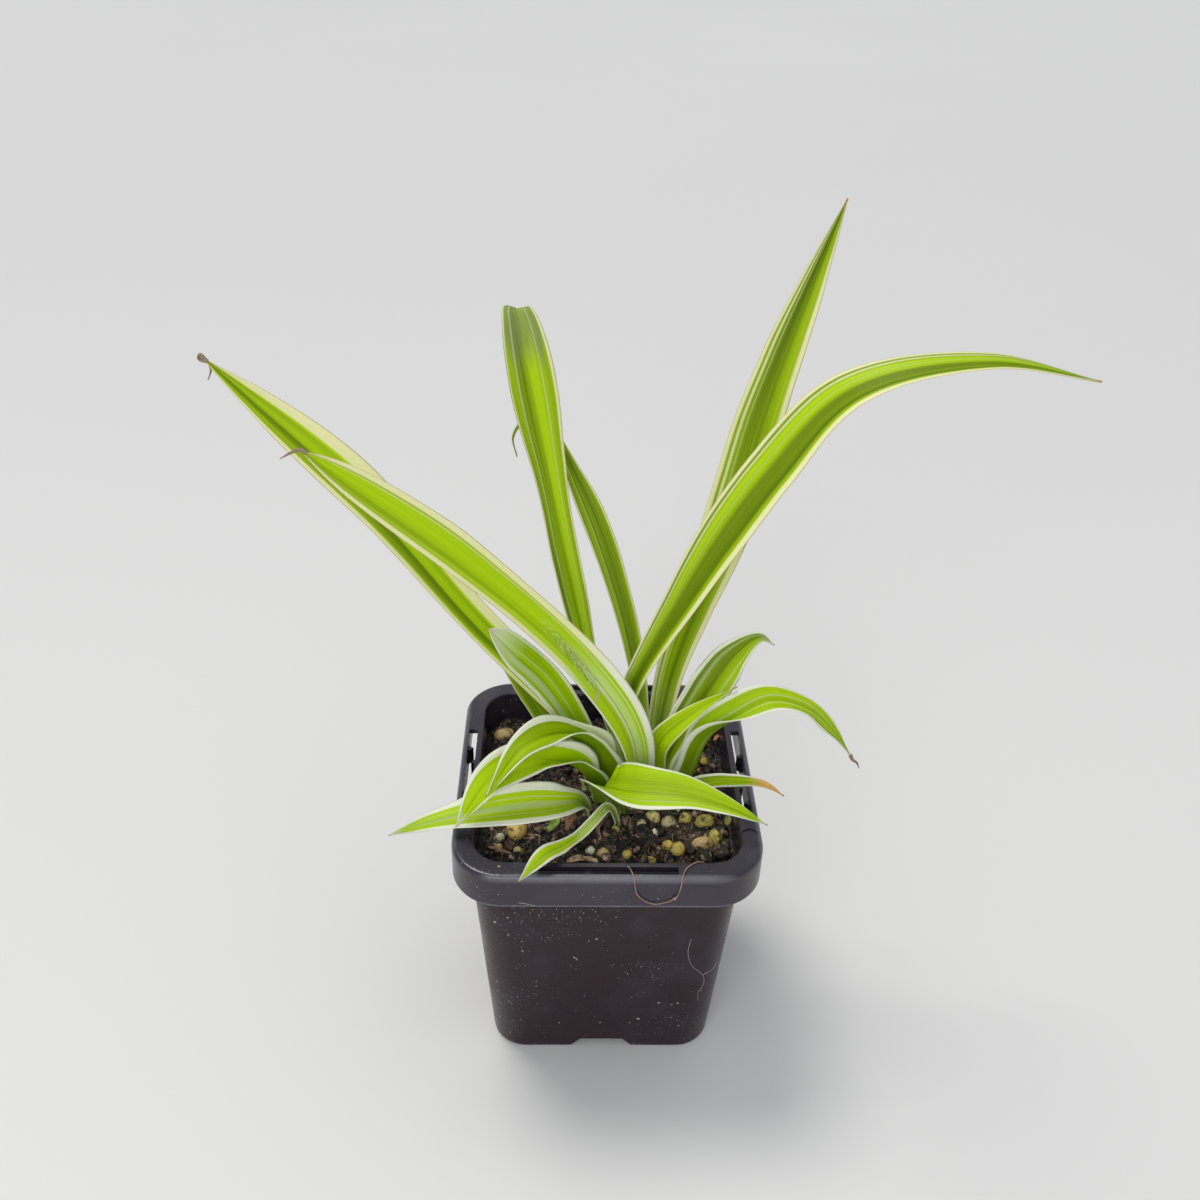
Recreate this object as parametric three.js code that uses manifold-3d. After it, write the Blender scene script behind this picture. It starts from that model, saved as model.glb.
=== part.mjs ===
// Young variegated spider plant in a square nursery pot.
// Millimetres, +Z up. +X is the plant's right and -Y its front. Every piece is drawn about the
// middle of the pot's underside, and the last lines bring the whole plant over the origin.
import * as THREE from "three";
import { mergeVertices } from "three/addons/utils/BufferGeometryUtils.js";
import Module from "manifold-3d";

const wasm = await Module();
wasm.setup();

// ---- driving dimensions ----
const pot = {
  rimWidth: 80,
  height: 77,
  skirtDrop: 10.4, // height of the band that hangs round the rim
  skirtWall: 1.3,
  flangeWidth: 5.6, // flat top of the rim, outer edge to inner edge
  flangeThick: 1.5,
  bodyTop: 70.7, // outer width level with the skirt's lower edge
  bodyBottom: 61.9,
  wall: 1.2,
  rimCorner: 13.5,
  bodyCorner: 9.6,
  edgeRound: 0.9,
  footDepth: 3.6, // the floor stands this high above the table
  floorThick: 1.4,
};
const rimSlot = { length: 35, width: 2.4 };
const tooth = { length: 3.2, depth: 1.7, height: 5 };
const outerTeeth = [10.9, -8]; // places along a side, standing on the skirt
const innerTooth = 5; // its place along a side, standing on the wall
const footNotch = { bottom: 20, top: 12 };
const drain = { length: 12, width: 3.6, offset: 17 };
const cornerDimple = { diameter: 4.4, depth: 0.4, x: 36.9, y: -24.4 };
const clearance = 0.3; // between touching pieces
const soil = { top: 67, bump: 0.7, rings: 6 };
const crown = { x: 7, y: 4, halfX: 14.5, halfY: 11, base: 58, top: 74.5, sheaths: 9 };
const bladeThick = 0.7;

// The larger lumps on the soil: x, y, length, width, height above the soil, turn in degrees.
const prills = [
  [-23.9, -13.9, 7.4, 5.2, 2.6, 80], // golden pebble
  [-29.4, 27.0, 6.4, 4.6, 1.6, 20],
  [12.8, -8.7, 4.4, 4.2, 1.9, 0],
  [18.1, -10.7, 4.0, 3.8, 1.7, 30],
  [22.0, -8.8, 4.0, 3.2, 1.7, 60],
  [27.4, -9.8, 3.8, 3.4, 1.5, 10],
  [13.3, -14.9, 2.6, 2.4, 1.3, 0],
  [26.0, -18.5, 5.0, 3.6, 1.8, 20],
  [30.0, -15.6, 3.6, 3.0, 1.6, 70],
  [16.6, -20.5, 4.2, 3.0, 1.6, 40],
  [20.6, -22.0, 3.8, 2.8, 1.5, 100],
  [5.4, -23.4, 3.2, 2.6, 1.4, 60],
  [-3.6, -19.6, 3.4, 2.8, 1.5, 0],
  [-6.5, -25.6, 8.0, 1.6, 1.0, 4], // strip of bark
  [29.0, 14.4, 3.2, 2.8, 1.2, 0],
  [27.0, 4.6, 3.0, 2.6, 1.2, 0],
];
const smallPrills = { count: 22, diameter: 2.5, keepFromCrown: 1.25, seed: 7 };

// Each blade's midrib runs through the points of its route. Widths, folds and faces stand at
// even steps from root to tip: a fold is how far each half lifts from flat, in degrees, and a
// face is the compass bearing and height, in degrees, that the upper side looks towards.
const leaves = {
  leaf_far_left: {
    route: [[4, 11, 64], [-14, 15, 89], [-37, 19, 115], [-64, 24, 149], [-101, 30, 183]],
    widths: [6, 10, 11, 15, 13],
    faces: [[-60, 20], [-60, 45], [-50, 50]],
    tipPower: 8,
    steps: 24,
  },
  leaf_left: {
    route: [[9, -3, 64], [6.5, -3, 92], [-7, -2.5, 115], [-35.5, -4.5, 146.3], [-71, -6, 176]],
    widths: [7, 12, 10.5, 12, 12],
    faces: [[-70, 20], [-60, 40], [-60, 55]],
    tipPower: 12,
    steps: 22,
  },
  leaf_upright: {
    route: [[8, 13, 64], [-4, 24, 95], [-11, 33, 122], [-17.5, 42, 154], [-23.5, 49, 184],
      [-25, 53, 188.5], [-24.4, 58, 185.5]],
    widths: [6, 4.5, 8, 8.5, 12.8, 11.2],
    faces: [[-70, 10], [-80, 10], [-80, 10], [-80, 10], [-80, 12], [-82, 22], [-88, 84]],
    tipPower: 24,
    steps: 30,
  },
  leaf_back_arch: {
    route: [[12, 13, 64], [8, 30, 93], [-1, 42, 122], [-10, 52, 141], [-17, 58, 152],
      [-24, 62, 152], [-27, 63, 147], [-26, 63, 141]],
    widths: [5, 6, 9, 11, 5, 3],
    faces: [[-60, 20], [-50, 30], [-40, 40], [-70, 70], [-110, 30]],
    steps: 24,
  },
  leaf_tall: {
    route: [[14, 10, 64], [18, 21, 93], [31, 26, 138], [39, 29, 175], [53, 32, 224]],
    widths: [7, 10, 15, 15, 14],
    faces: [[-100, 20], [-120, 20], [-120, 20]],
    steps: 24,
  },
  leaf_right_arch: {
    route: [[11, 4, 64], [5, 5, 93], [19, 6, 130], [38, 7, 165], [55, 8, 186], [85, 7, 194],
      [111, 5, 191]],
    widths: [6, 7, 15, 16, 11],
    faces: [[-110, 30], [-110, 45], [-100, 75], [-90, 80]],
    steps: 28,
  },
  leaf_short_left: {
    route: [[1, 5, 64], [-7.5, 6.5, 85.5], [-16, 1.5, 105.5], [-24.3, -5.5, 120.5], [-30, -9, 130]],
    widths: [5.5, 7.5, 9.5, 10, 10],
    faces: [[-70, 30], [-60, 45]],
    tipPower: 16,
    steps: 16,
  },
  leaf_shade_left: {
    route: [[-1, 9, 64], [-15, 21, 77], [-25, 26, 90], [-34, 30, 100]],
    widths: [5, 9, 9, 6],
    faces: [[-60, 20], [-60, 50]],
    steps: 12,
  },
  leaf_curl_outer: {
    route: [[-2, -3.5, 64], [-4, -4.8, 77], [-9, -6.8, 85], [-15, -9.5, 89], [-20, -11.5, 90.5],
      [-30.3, -18.2, 89.7], [-38.5, -28, 82.5]],
    widths: [5, 8, 11.5, 12, 12.5, 12.5, 10],
    folds: [60, 72, 72, 45, 20, 14, 12],
    faces: [[10, 25], [5, 35], [0, 45], [-50, 60], [-75, 62], [-80, 60], [-80, 60]],
    ruffle: 1.1,
    steps: 20,
  },
  leaf_curl_inner: {
    route: [[2, 0.5, 64], [-0.7, 0, 77], [-6, -0.8, 86.5], [-13, -5, 94.3], [-22, -13, 96.5],
      [-31, -24, 89.1]],
    widths: [6, 10, 13.5, 11.5, 10.5, 9, 6],
    folds: [60, 74, 80, 60, 28, 14, 12],
    faces: [[10, 25], [5, 35], [0, 42], [-10, 55], [-75, 62], [-80, 60], [-80, 60]],
    ruffle: 1.1,
    steps: 20,
  },
  leaf_low_left: {
    route: [[-4.5, -5.5, 64], [-7.5, -11, 75.5], [-13, -15, 78.5], [-26, -19, 80.5], [-45, -23, 79.5],
      [-56, -26, 77.5]],
    widths: [3.5, 7, 12.5, 12, 9.5, 8],
    faces: [[-60, 60], [-70, 70], [-70, 70]],
    steps: 16,
  },
  leaf_front_right: {
    route: [[5.5, -8, 64], [4, -9.7, 74], [-0.8, -10.5, 80.3], [0.8, -13.2, 82.6], [6, -15.6, 84.2],
      [20, -19.5, 86.3], [31, -23.5, 85.5], [40.5, -27, 82.8]],
    widths: [3.5, 4.5, 14, 14.5, 12.5, 10, 8, 6],
    folds: [40, 42, 38, 26, 18, 14, 12, 12],
    faces: [[125, 0], [125, 5], [120, 50], [-70, 70], [-80, 60], [-80, 60], [-80, 62], [-80, 65]],
    steps: 22,
  },
  leaf_front_small: {
    route: [[2.5, -11.6, 64], [2.2, -13.2, 72], [0, -15, 77.2], [-3.6, -19.3, 76.4],
      [-7.4, -24, 75.8], [-12, -30.6, 78.2], [-16, -36, 80.8], [-22, -45, 81]],
    widths: [3, 2.8, 3, 3.2, 3.4, 5.6, 7.4, 6.6],
    faces: [[-60, 60], [-60, 70]],
    steps: 16,
  },
  leaf_right_small: {
    route: [[15, 1, 64], [14, 2, 84], [23, 4, 94], [35, 7, 101]],
    widths: [4, 7, 6, 2],
    faces: [[-100, 40], [-100, 60]],
    steps: 12,
  },
  leaf_right_broad: {
    route: [[15, 7, 64], [19, 10, 77], [26, 14, 89], [35, 18, 103], [42, 20, 108], [46.5, 21, 105]],
    widths: [6, 10, 12.5, 13, 6],
    faces: [[-110, 30], [-110, 40], [-90, 70]],
    steps: 16,
  },
  leaf_right_wavy: {
    route: [[20, 0, 64], [24, 1, 76], [28, 3, 87], [35, 4, 93], [44, 5, 98], [54, 5, 95.5],
      [63, 5, 86.5], [68.5, 4, 78.8]],
    widths: [8, 13, 12, 9, 7, 4],
    folds: [60, 66, 50, 22, 14, 12],
    faces: [[170, 30], [160, 40], [-130, 60], [-100, 65], [-100, 70]],
    ruffle: 1.1,
    steps: 20,
  },
  leaf_right_low: {
    route: [[18, -4, 64], [24, -8, 79], [34, -11, 83.5], [42, -12, 83], [47, -13, 80]],
    widths: [3, 4.5, 4, 3],
    faces: [[-100, 50], [-100, 60]],
    steps: 12,
  },
};
const usualFold = [45, 22, 14, 12];
const tipPower = 5; // how suddenly a blade closes to its point
const bladeColumns = 4;
const ruffleWaves = 3;

// ---- materials ----
const potPlastic = new THREE.MeshStandardMaterial({ color: 0x24262c, roughness: 0.45 });
const peat = new THREE.MeshStandardMaterial({ color: 0x1f1612, roughness: 0.95 });
const sheath = new THREE.MeshStandardMaterial({ color: 0xcfd9a4, roughness: 0.6 });
const blade = new THREE.MeshStandardMaterial({ color: 0x7fae1e, roughness: 0.45 });

// ---- solids ----
function toSolid(geometry) {
  const bare = geometry.clone();
  bare.deleteAttribute("normal");
  bare.deleteAttribute("uv");
  const merged = mergeVertices(bare, 1e-4);
  return new wasm.Manifold(new wasm.Mesh({
    numProp: 3,
    vertProperties: new Float32Array(merged.attributes.position.array),
    triVerts: new Uint32Array(merged.index.array),
  }));
}

function toGeometry(solid) {
  const mesh = solid.getMesh();
  const geometry = new THREE.BufferGeometry();
  geometry.setAttribute("position", new THREE.BufferAttribute(mesh.vertProperties, 3));
  geometry.setIndex(new THREE.BufferAttribute(mesh.triVerts, 1));
  return geometry;
}

function meshGeometry(points, triangles) {
  const geometry = new THREE.BufferGeometry();
  geometry.setAttribute("position", new THREE.Float32BufferAttribute(points.flat(), 3));
  geometry.setIndex(triangles.flat());
  return geometry;
}

// A square with round corners, anticlockwise, level at height z.
function roundSquare(width, corner, z, perCorner = 5) {
  const points = [];
  const centre = width / 2 - corner;
  for (let quarter = 0; quarter < 4; quarter += 1) {
    const start = (quarter * Math.PI) / 2;
    const cx = centre * (quarter === 0 || quarter === 3 ? 1 : -1);
    const cy = centre * (quarter < 2 ? 1 : -1);
    for (let i = 0; i <= perCorner; i += 1) {
      const angle = start + (i / perCorner) * (Math.PI / 2);
      points.push([cx + corner * Math.cos(angle), cy + corner * Math.sin(angle), z]);
    }
  }
  return points;
}

// A closed solid through a stack of rings, lowest first, with a flat end at each end.
function loftGeometry(rings) {
  const count = rings[0].length;
  const points = rings.flat();
  const triangles = [];
  for (let r = 0; r < rings.length - 1; r += 1) {
    for (let i = 0; i < count; i += 1) {
      const a = r * count + i;
      const b = r * count + ((i + 1) % count);
      triangles.push([a, b, b + count], [a, b + count, a + count]);
    }
  }
  const last = (rings.length - 1) * count;
  for (let i = 1; i < count - 1; i += 1) {
    triangles.push([0, i + 1, i], [last, last + i, last + i + 1]);
  }
  return meshGeometry(points, triangles);
}

function loft(rings) {
  return toSolid(loftGeometry(rings));
}

function boxSolid(sizeX, sizeY, sizeZ, x, y, z) {
  return toSolid(new THREE.BoxGeometry(sizeX, sizeY, sizeZ).translate(x, y, z));
}

function prismSolid(outline, depth) {
  const shape = new THREE.Shape(outline.map(([x, y]) => new THREE.Vector2(x, y)));
  return toSolid(new THREE.ExtrudeGeometry(shape, { depth, bevelEnabled: false }));
}

function largestPiece(solid) {
  return solid.decompose().sort((p, q) => q.volume() - p.volume())[0];
}

// Repeats a cut or a piece on the pot's four sides.
function onFourSides(solid) {
  const turns = [0, 90, 180, 270].map((angle) => solid.rotate([0, 0, angle]));
  return turns.reduce((all, one) => all.add(one));
}

function random(seed) {
  let state = seed;
  return () => {
    state = (state * 1664525 + 1013904223) % 4294967296;
    return state / 4294967296;
  };
}

// ---- pot ----
const skirtFoot = pot.height - pot.skirtDrop;
const bodySlope = (pot.bodyTop - pot.bodyBottom) / skirtFoot;
const bodyWidth = (z) => pot.bodyBottom + bodySlope * z;
const innerWidth = (z) => bodyWidth(z) - 2 * pot.wall;
const mouthWidth = pot.rimWidth - 2 * pot.flangeWidth;
const innerCorner = pot.bodyCorner - pot.wall;
const floorTop = pot.footDepth + pot.floorThick;
const flangeUnder = pot.height - pot.flangeThick;

function potSolid() {
  const edge = pot.edgeRound;
  const body = loft([
    roundSquare(bodyWidth(0) - edge, pot.bodyCorner, 0),
    roundSquare(bodyWidth(edge), pot.bodyCorner, edge),
    roundSquare(bodyWidth(flangeUnder + 0.5), pot.bodyCorner, flangeUnder + 0.5),
  ]);
  const rimBlock = loft([
    roundSquare(pot.rimWidth, pot.rimCorner, skirtFoot),
    roundSquare(pot.rimWidth, pot.rimCorner, pot.height - edge),
    roundSquare(pot.rimWidth - 0.6 * edge, pot.rimCorner - 0.3 * edge, pot.height - 0.3 * edge),
    roundSquare(pot.rimWidth - 2 * edge, pot.rimCorner - edge, pot.height),
  ]);
  const skirtInside = pot.rimWidth - 2 * pot.skirtWall;
  const underRim = loft([
    roundSquare(skirtInside, pot.rimCorner - pot.skirtWall, skirtFoot - 1),
    roundSquare(skirtInside, pot.rimCorner - pot.skirtWall, flangeUnder),
  ]);
  const cavity = loft([
    roundSquare(innerWidth(floorTop) - 2 * edge, innerCorner, floorTop),
    roundSquare(innerWidth(floorTop + 2 * edge), innerCorner, floorTop + 2 * edge),
    roundSquare(innerWidth(skirtFoot), innerCorner, skirtFoot),
    roundSquare(mouthWidth, innerCorner, pot.height - edge),
    roundSquare(mouthWidth + edge, innerCorner, pot.height + 0.1),
  ]);
  const footInside = bodyWidth(0) - 5;
  const underFloor = loft([
    roundSquare(footInside, innerCorner, -1),
    roundSquare(footInside, innerCorner, pot.footDepth),
  ]);
  const notch = prismSolid([
    [-footNotch.bottom / 2, -1],
    [footNotch.bottom / 2, -1],
    [footNotch.bottom / 2, 0],
    [footNotch.top / 2, pot.footDepth],
    [-footNotch.top / 2, pot.footDepth],
    [-footNotch.bottom / 2, 0],
  ], 8).rotate([90, 0, 0]).translate([0, -bodyWidth(0) / 2 + 5, 0]);
  const slotCentre = (skirtInside / 2 + bodyWidth(flangeUnder) / 2) / 2;
  const slot = boxSolid(rimSlot.length, rimSlot.width, 2 * pot.flangeThick + 1, 0, -slotCentre,
    pot.height);
  const drainSlot = boxSolid(drain.length, drain.width, 4, 0, -drain.offset, floorTop - 1);
  const dimple = toSolid(new THREE.CylinderGeometry(
    cornerDimple.diameter / 2, cornerDimple.diameter / 2, 2 * cornerDimple.depth, 16)
    .rotateX(Math.PI / 2)).translate([cornerDimple.x, cornerDimple.y, pot.height]);
  return rimBlock.subtract(underRim).add(body).subtract(cavity).subtract(underFloor)
    .subtract(onFourSides(notch)).subtract(onFourSides(slot)).subtract(onFourSides(drainSlot))
    .subtract(dimple).add(rimTeeth(skirtInside / 2));
}

// Small three-cornered ribs that stand in the slots' gap on each side, from the skirt and from
// the wall.
function rimTeeth(skirtInner) {
  const outline = [
    [-tooth.length / 2, 0.4],
    [tooth.length / 2, 0.4],
    [0, -tooth.depth],
  ];
  const top = flangeUnder + 0.2;
  const rib = prismSolid(outline, tooth.height).translate([0, 0, top - tooth.height]);
  const wallFace = bodyWidth(top - tooth.height) / 2;
  const onWall = rib.rotate([0, 0, 180]).translate([innerTooth, wallFace, 0]);
  const onSkirt = outerTeeth.map((x) => rib.translate([x, skirtInner, 0]));
  return onFourSides(onSkirt.reduce((all, one) => all.add(one), onWall));
}

// ---- soil ----
const soilWave = (x, y) => soil.bump
  * (Math.sin(x * 0.41 + 1.2) * Math.cos(y * 0.37) + 0.6 * Math.sin(x * 0.9 - y * 0.7));

function lump(x, y, length, width, height, turn, detail = 1) {
  const shape = new THREE.IcosahedronGeometry(1, detail)
    .scale(length / 2, width / 2, height)
    .rotateZ(THREE.MathUtils.degToRad(turn));
  return toSolid(shape).translate([x, y, soil.top + soilWave(x, y) - 0.3]);
}

// The bed of peat up to its wavy top, which stands higher by raise.
function bedSolid(raise) {
  const corner = innerCorner - clearance;
  const side = (z, inset) => roundSquare(innerWidth(z) - 2 * clearance - inset, corner, z);
  const rings = [
    side(floorTop + clearance, 2 * pot.edgeRound),
    side(floorTop + 3, 0),
    side(soil.top - 1.2, 0),
  ];
  for (let r = 0; r < soil.rings; r += 1) {
    const share = 1 - r / soil.rings;
    const width = (innerWidth(soil.top) - 2 * clearance - 0.8) * share;
    const flat = roundSquare(width, corner * share, 0);
    rings.push(flat.map(([x, y]) => [x, y, soil.top + soilWave(x, y) + raise]));
  }
  return loft(rings);
}

function soilSolid() {
  const next = random(smallPrills.seed);
  const lumps = prills.map((p) => lump(...p));
  while (lumps.length < prills.length + smallPrills.count) {
    const reach = innerWidth(soil.top) - 8;
    const x = (next() - 0.5) * reach;
    const y = (next() - 0.5) * reach;
    const size = smallPrills.diameter * (0.8 + 0.5 * next());
    const fromCrown = Math.hypot((x - crown.x) / crown.halfX, (y - crown.y) / crown.halfY);
    const clear = prills.every((p) => Math.hypot(p[0] - x, p[1] - y) > 4);
    if (fromCrown > smallPrills.keepFromCrown && clear) {
      lumps.push(lump(x, y, size, size * 0.85, size / 2, next() * 180, 0));
    }
  }
  const grown = lumps.reduce((all, one) => all.add(one), bedSolid(0));
  return largestPiece(grown.subtract(crownSolid(clearance)));
}

// ---- crown: the swollen base that the leaf sheaths wrap ----
function crownSolid(grow) {
  const rings = [];
  const levels = 7;
  const around = 27;
  for (let r = 0; r < levels; r += 1) {
    const t = r / (levels - 1);
    const shrink = Math.sqrt(1 - 0.93 * t ** 2.4);
    const ring = [];
    for (let i = 0; i < around; i += 1) {
      const angle = (i / around) * 2 * Math.PI;
      const ridge = 1 + 0.05 * Math.cos(crown.sheaths * angle) * t;
      ring.push([
        crown.x + (crown.halfX * shrink * ridge + grow) * Math.cos(angle),
        crown.y + (crown.halfY * shrink * ridge + grow) * Math.sin(angle),
        crown.base - grow + (crown.top - crown.base + 2 * grow) * t,
      ]);
    }
    rings.push(ring);
  }
  return loft(rings);
}

// ---- leaves ----
// A smooth value through numbers that stand at even steps.
function along(values, share) {
  if (values.length === 1) return values[0];
  const last = values.length - 1;
  const x = share * last;
  const i = Math.min(Math.floor(x), last - 1);
  const t = x - i;
  const b = values[i];
  const c = values[i + 1];
  const a = i > 0 ? values[i - 1] : 2 * b - c;
  const d = i + 2 <= last ? values[i + 2] : 2 * c - b;
  return b + 0.5 * t * (c - a + t * (2 * a - 5 * b + 4 * c - d + t * (3 * (b - c) + d - a)));
}

function faceVector([bearing, height]) {
  return new THREE.Vector3().setFromSphericalCoords(1, THREE.MathUtils.degToRad(90 - height), 0)
    .applyAxisAngle(new THREE.Vector3(1, 0, 0), Math.PI / 2)
    .applyAxisAngle(new THREE.Vector3(0, 0, 1), THREE.MathUtils.degToRad(bearing + 90));
}

// Rows of points across the blade, from root to tip.
function bladeRows(leaf) {
  const knots = leaf.route.map((p) => new THREE.Vector3(...p));
  const curve = new THREE.CatmullRomCurve3(knots, false, "centripetal");
  const spine = curve.getSpacedPoints(leaf.steps);
  const faces = leaf.faces.map(faceVector);
  const folds = leaf.folds ?? usualFold;
  return spine.map((point, i) => {
    const s = i / leaf.steps;
    const before = spine[Math.max(i - 1, 0)];
    const after = spine[Math.min(i + 1, leaf.steps)];
    const tangent = after.clone().sub(before).normalize();
    const face = new THREE.Vector3(...["x", "y", "z"].map((k) => along(faces.map((f) => f[k]), s)));
    const normal = face.addScaledVector(tangent, -face.dot(tangent)).normalize();
    const across = tangent.clone().cross(normal);
    const half = 0.5 * along(leaf.widths, s) * Math.max(1 - s ** (leaf.tipPower ?? tipPower), 0.06);
    const fold = THREE.MathUtils.degToRad(along(folds, s));
    const row = [];
    for (let j = 0; j <= bladeColumns; j += 1) {
      const v = (2 * j) / bladeColumns - 1;
      const wave = 2 * Math.PI * ruffleWaves * s + 1.3 * Math.sign(v);
      const lift = Math.abs(v) ** 1.4 * half * Math.sin(fold)
        + (leaf.ruffle ?? 0) * v * v * Math.sin(wave) * Math.sqrt(Math.sin(Math.PI * s));
      row.push(point.clone().addScaledVector(across, v * half * Math.cos(fold))
        .addScaledVector(normal, lift || 0));
    }
    return row;
  });
}

// The blade's two faces stand half its thickness to each side of the rows, and are split into
// triangles alike. A narrow strip closes the margins.
function bladeSolid(leaf) {
  const rows = bladeRows(leaf);
  const wide = bladeColumns + 1;
  const upper = [];
  const lower = [];
  rows.forEach((row, i) => row.forEach((point, j) => {
    const alongWay = rows[Math.min(i + 1, leaf.steps)][j].clone()
      .sub(rows[Math.max(i - 1, 0)][j]);
    const acrossWay = row[Math.min(j + 1, bladeColumns)].clone().sub(row[Math.max(j - 1, 0)]);
    const out = alongWay.cross(acrossWay).normalize().multiplyScalar(-bladeThick / 2);
    upper.push(point.clone().add(out).toArray());
    lower.push(point.clone().sub(out).toArray());
  }));
  const flip = upper.length;
  const triangles = [];
  const quad = (a, b, c, d) => triangles.push([a, b, c], [a, c, d]);
  for (let i = 0; i < leaf.steps; i += 1) {
    for (let j = 0; j < bladeColumns; j += 1) {
      const a = i * wide + j;
      triangles.push([a, a + 1, a + 1 + wide], [a, a + 1 + wide, a + wide]);
      const b = a + flip;
      triangles.push([b, b + 1 + wide, b + 1], [b, b + wide, b + 1 + wide]);
    }
    const left = i * wide;
    const right = left + bladeColumns;
    quad(left, left + wide, left + wide + flip, left + flip);
    quad(right, right + flip, right + wide + flip, right + wide);
  }
  const end = leaf.steps * wide;
  for (let j = 0; j < bladeColumns; j += 1) {
    quad(j, j + flip, j + 1 + flip, j + 1);
    quad(end + j, end + j + 1, end + j + 1 + flip, end + j + flip);
  }
  const solid = toSolid(meshGeometry([...upper, ...lower], triangles));
  return largestPiece(solid.subtract(crownSolid(clearance)).subtract(bedSolid(clearance)));
}

// ---- scene ----
const plant = new THREE.Group();

function addPart(name, solid, material) {
  const mesh = new THREE.Mesh(toGeometry(solid), material);
  mesh.name = name;
  plant.add(mesh);
}

addPart("pot", potSolid(), potPlastic);
addPart("soil", soilSolid(), peat);
addPart("crown", crownSolid(0), sheath);
for (const [name, leaf] of Object.entries(leaves)) addPart(name, bladeSolid(leaf), blade);

// The leaves reach further to one side than the other, so the origin goes on the table under
// the middle of the whole plant's spread.
const spread = new THREE.Box3().setFromObject(plant).getCenter(new THREE.Vector3());
plant.position.set(-spread.x, -spread.y, 0);

export default plant;
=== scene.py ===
import math

import bpy
import numpy as np
from mathutils import Matrix, Vector


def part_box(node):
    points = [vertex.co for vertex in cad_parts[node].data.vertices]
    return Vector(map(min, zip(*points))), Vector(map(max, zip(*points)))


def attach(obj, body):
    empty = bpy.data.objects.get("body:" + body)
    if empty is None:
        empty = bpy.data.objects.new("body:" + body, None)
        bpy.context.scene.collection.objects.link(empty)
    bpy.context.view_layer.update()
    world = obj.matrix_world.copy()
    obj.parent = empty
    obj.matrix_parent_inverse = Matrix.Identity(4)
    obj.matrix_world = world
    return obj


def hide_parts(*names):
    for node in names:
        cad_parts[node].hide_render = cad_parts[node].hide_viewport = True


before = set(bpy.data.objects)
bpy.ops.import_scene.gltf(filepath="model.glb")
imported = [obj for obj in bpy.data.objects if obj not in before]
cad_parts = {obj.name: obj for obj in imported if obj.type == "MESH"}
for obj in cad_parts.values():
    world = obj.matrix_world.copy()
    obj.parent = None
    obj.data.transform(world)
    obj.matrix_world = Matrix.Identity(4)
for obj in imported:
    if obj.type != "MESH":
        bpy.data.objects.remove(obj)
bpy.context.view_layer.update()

mm = 0.001  # lengths in the dictionaries are millimetres from the middle of the pot's underside
potLow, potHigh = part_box("pot")
potMiddle = np.array([(potLow.x + potHigh.x) / 2, (potLow.y + potHigh.y) / 2, potLow.z])


view = {
    "place": (-10.89, -255.52, 299.84),
    "pitch": 33.13,  # degrees below level
    "yaw": 1.8,
    "roll": 1.6,
    "lens": 36.716,
    "sensor": 36,
    "near": 0.01,  # metres
    "far": 50,
}


def addCamera():
    # looks along +Y turned by yaw, tipped down by pitch, then rolled about that line
    pitch, yaw, roll = (math.radians(view[k]) for k in ("pitch", "yaw", "roll"))
    ahead = Vector((math.sin(yaw) * math.cos(pitch), math.cos(yaw) * math.cos(pitch), -math.sin(pitch)))
    level = Vector((math.cos(yaw), -math.sin(yaw), 0))
    upright = level.cross(ahead)
    right = level * math.cos(roll) + upright * math.sin(roll)
    up = upright * math.cos(roll) - level * math.sin(roll)
    data = bpy.data.cameras.new("camera")
    data.sensor_width = view["sensor"]
    data.lens = view["lens"]
    data.clip_start = view["near"]
    data.clip_end = view["far"]
    camera = bpy.data.objects.new("camera", data)
    turn = Matrix((right, up, -ahead)).transposed()
    camera.matrix_world = Matrix.Translation(toFrame(view["place"])) @ turn.to_4x4()
    bpy.context.scene.collection.objects.link(camera)
    bpy.context.scene.camera = camera


def toFrame(points):
    # millimetres from the pot's middle to metres in the model's frame
    return np.asarray(points, float) * mm + potMiddle


studio = {
    "sky": (0.93, 0.96, 1.0),
    "skyStrength": 0.62,
    "floorColour": (0.66, 0.655, 0.645),
    "floorSize": 8,  # metres
    "floorRoughness": 0.7,
    "clouds": (9, 3),  # the floor's faint clouds: noise scale and detail
    "cloudShade": 0.97,
    "sun": {"from": (-0.30, 0.32, 1.0), "strength": 1.5, "spread": 22, "colour": (1.0, 0.985, 0.95)},
    "front": {"place": (-260, -760, 520), "aim": (0, 0, 80), "width": 0.5, "watts": 2.6},
}


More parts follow.
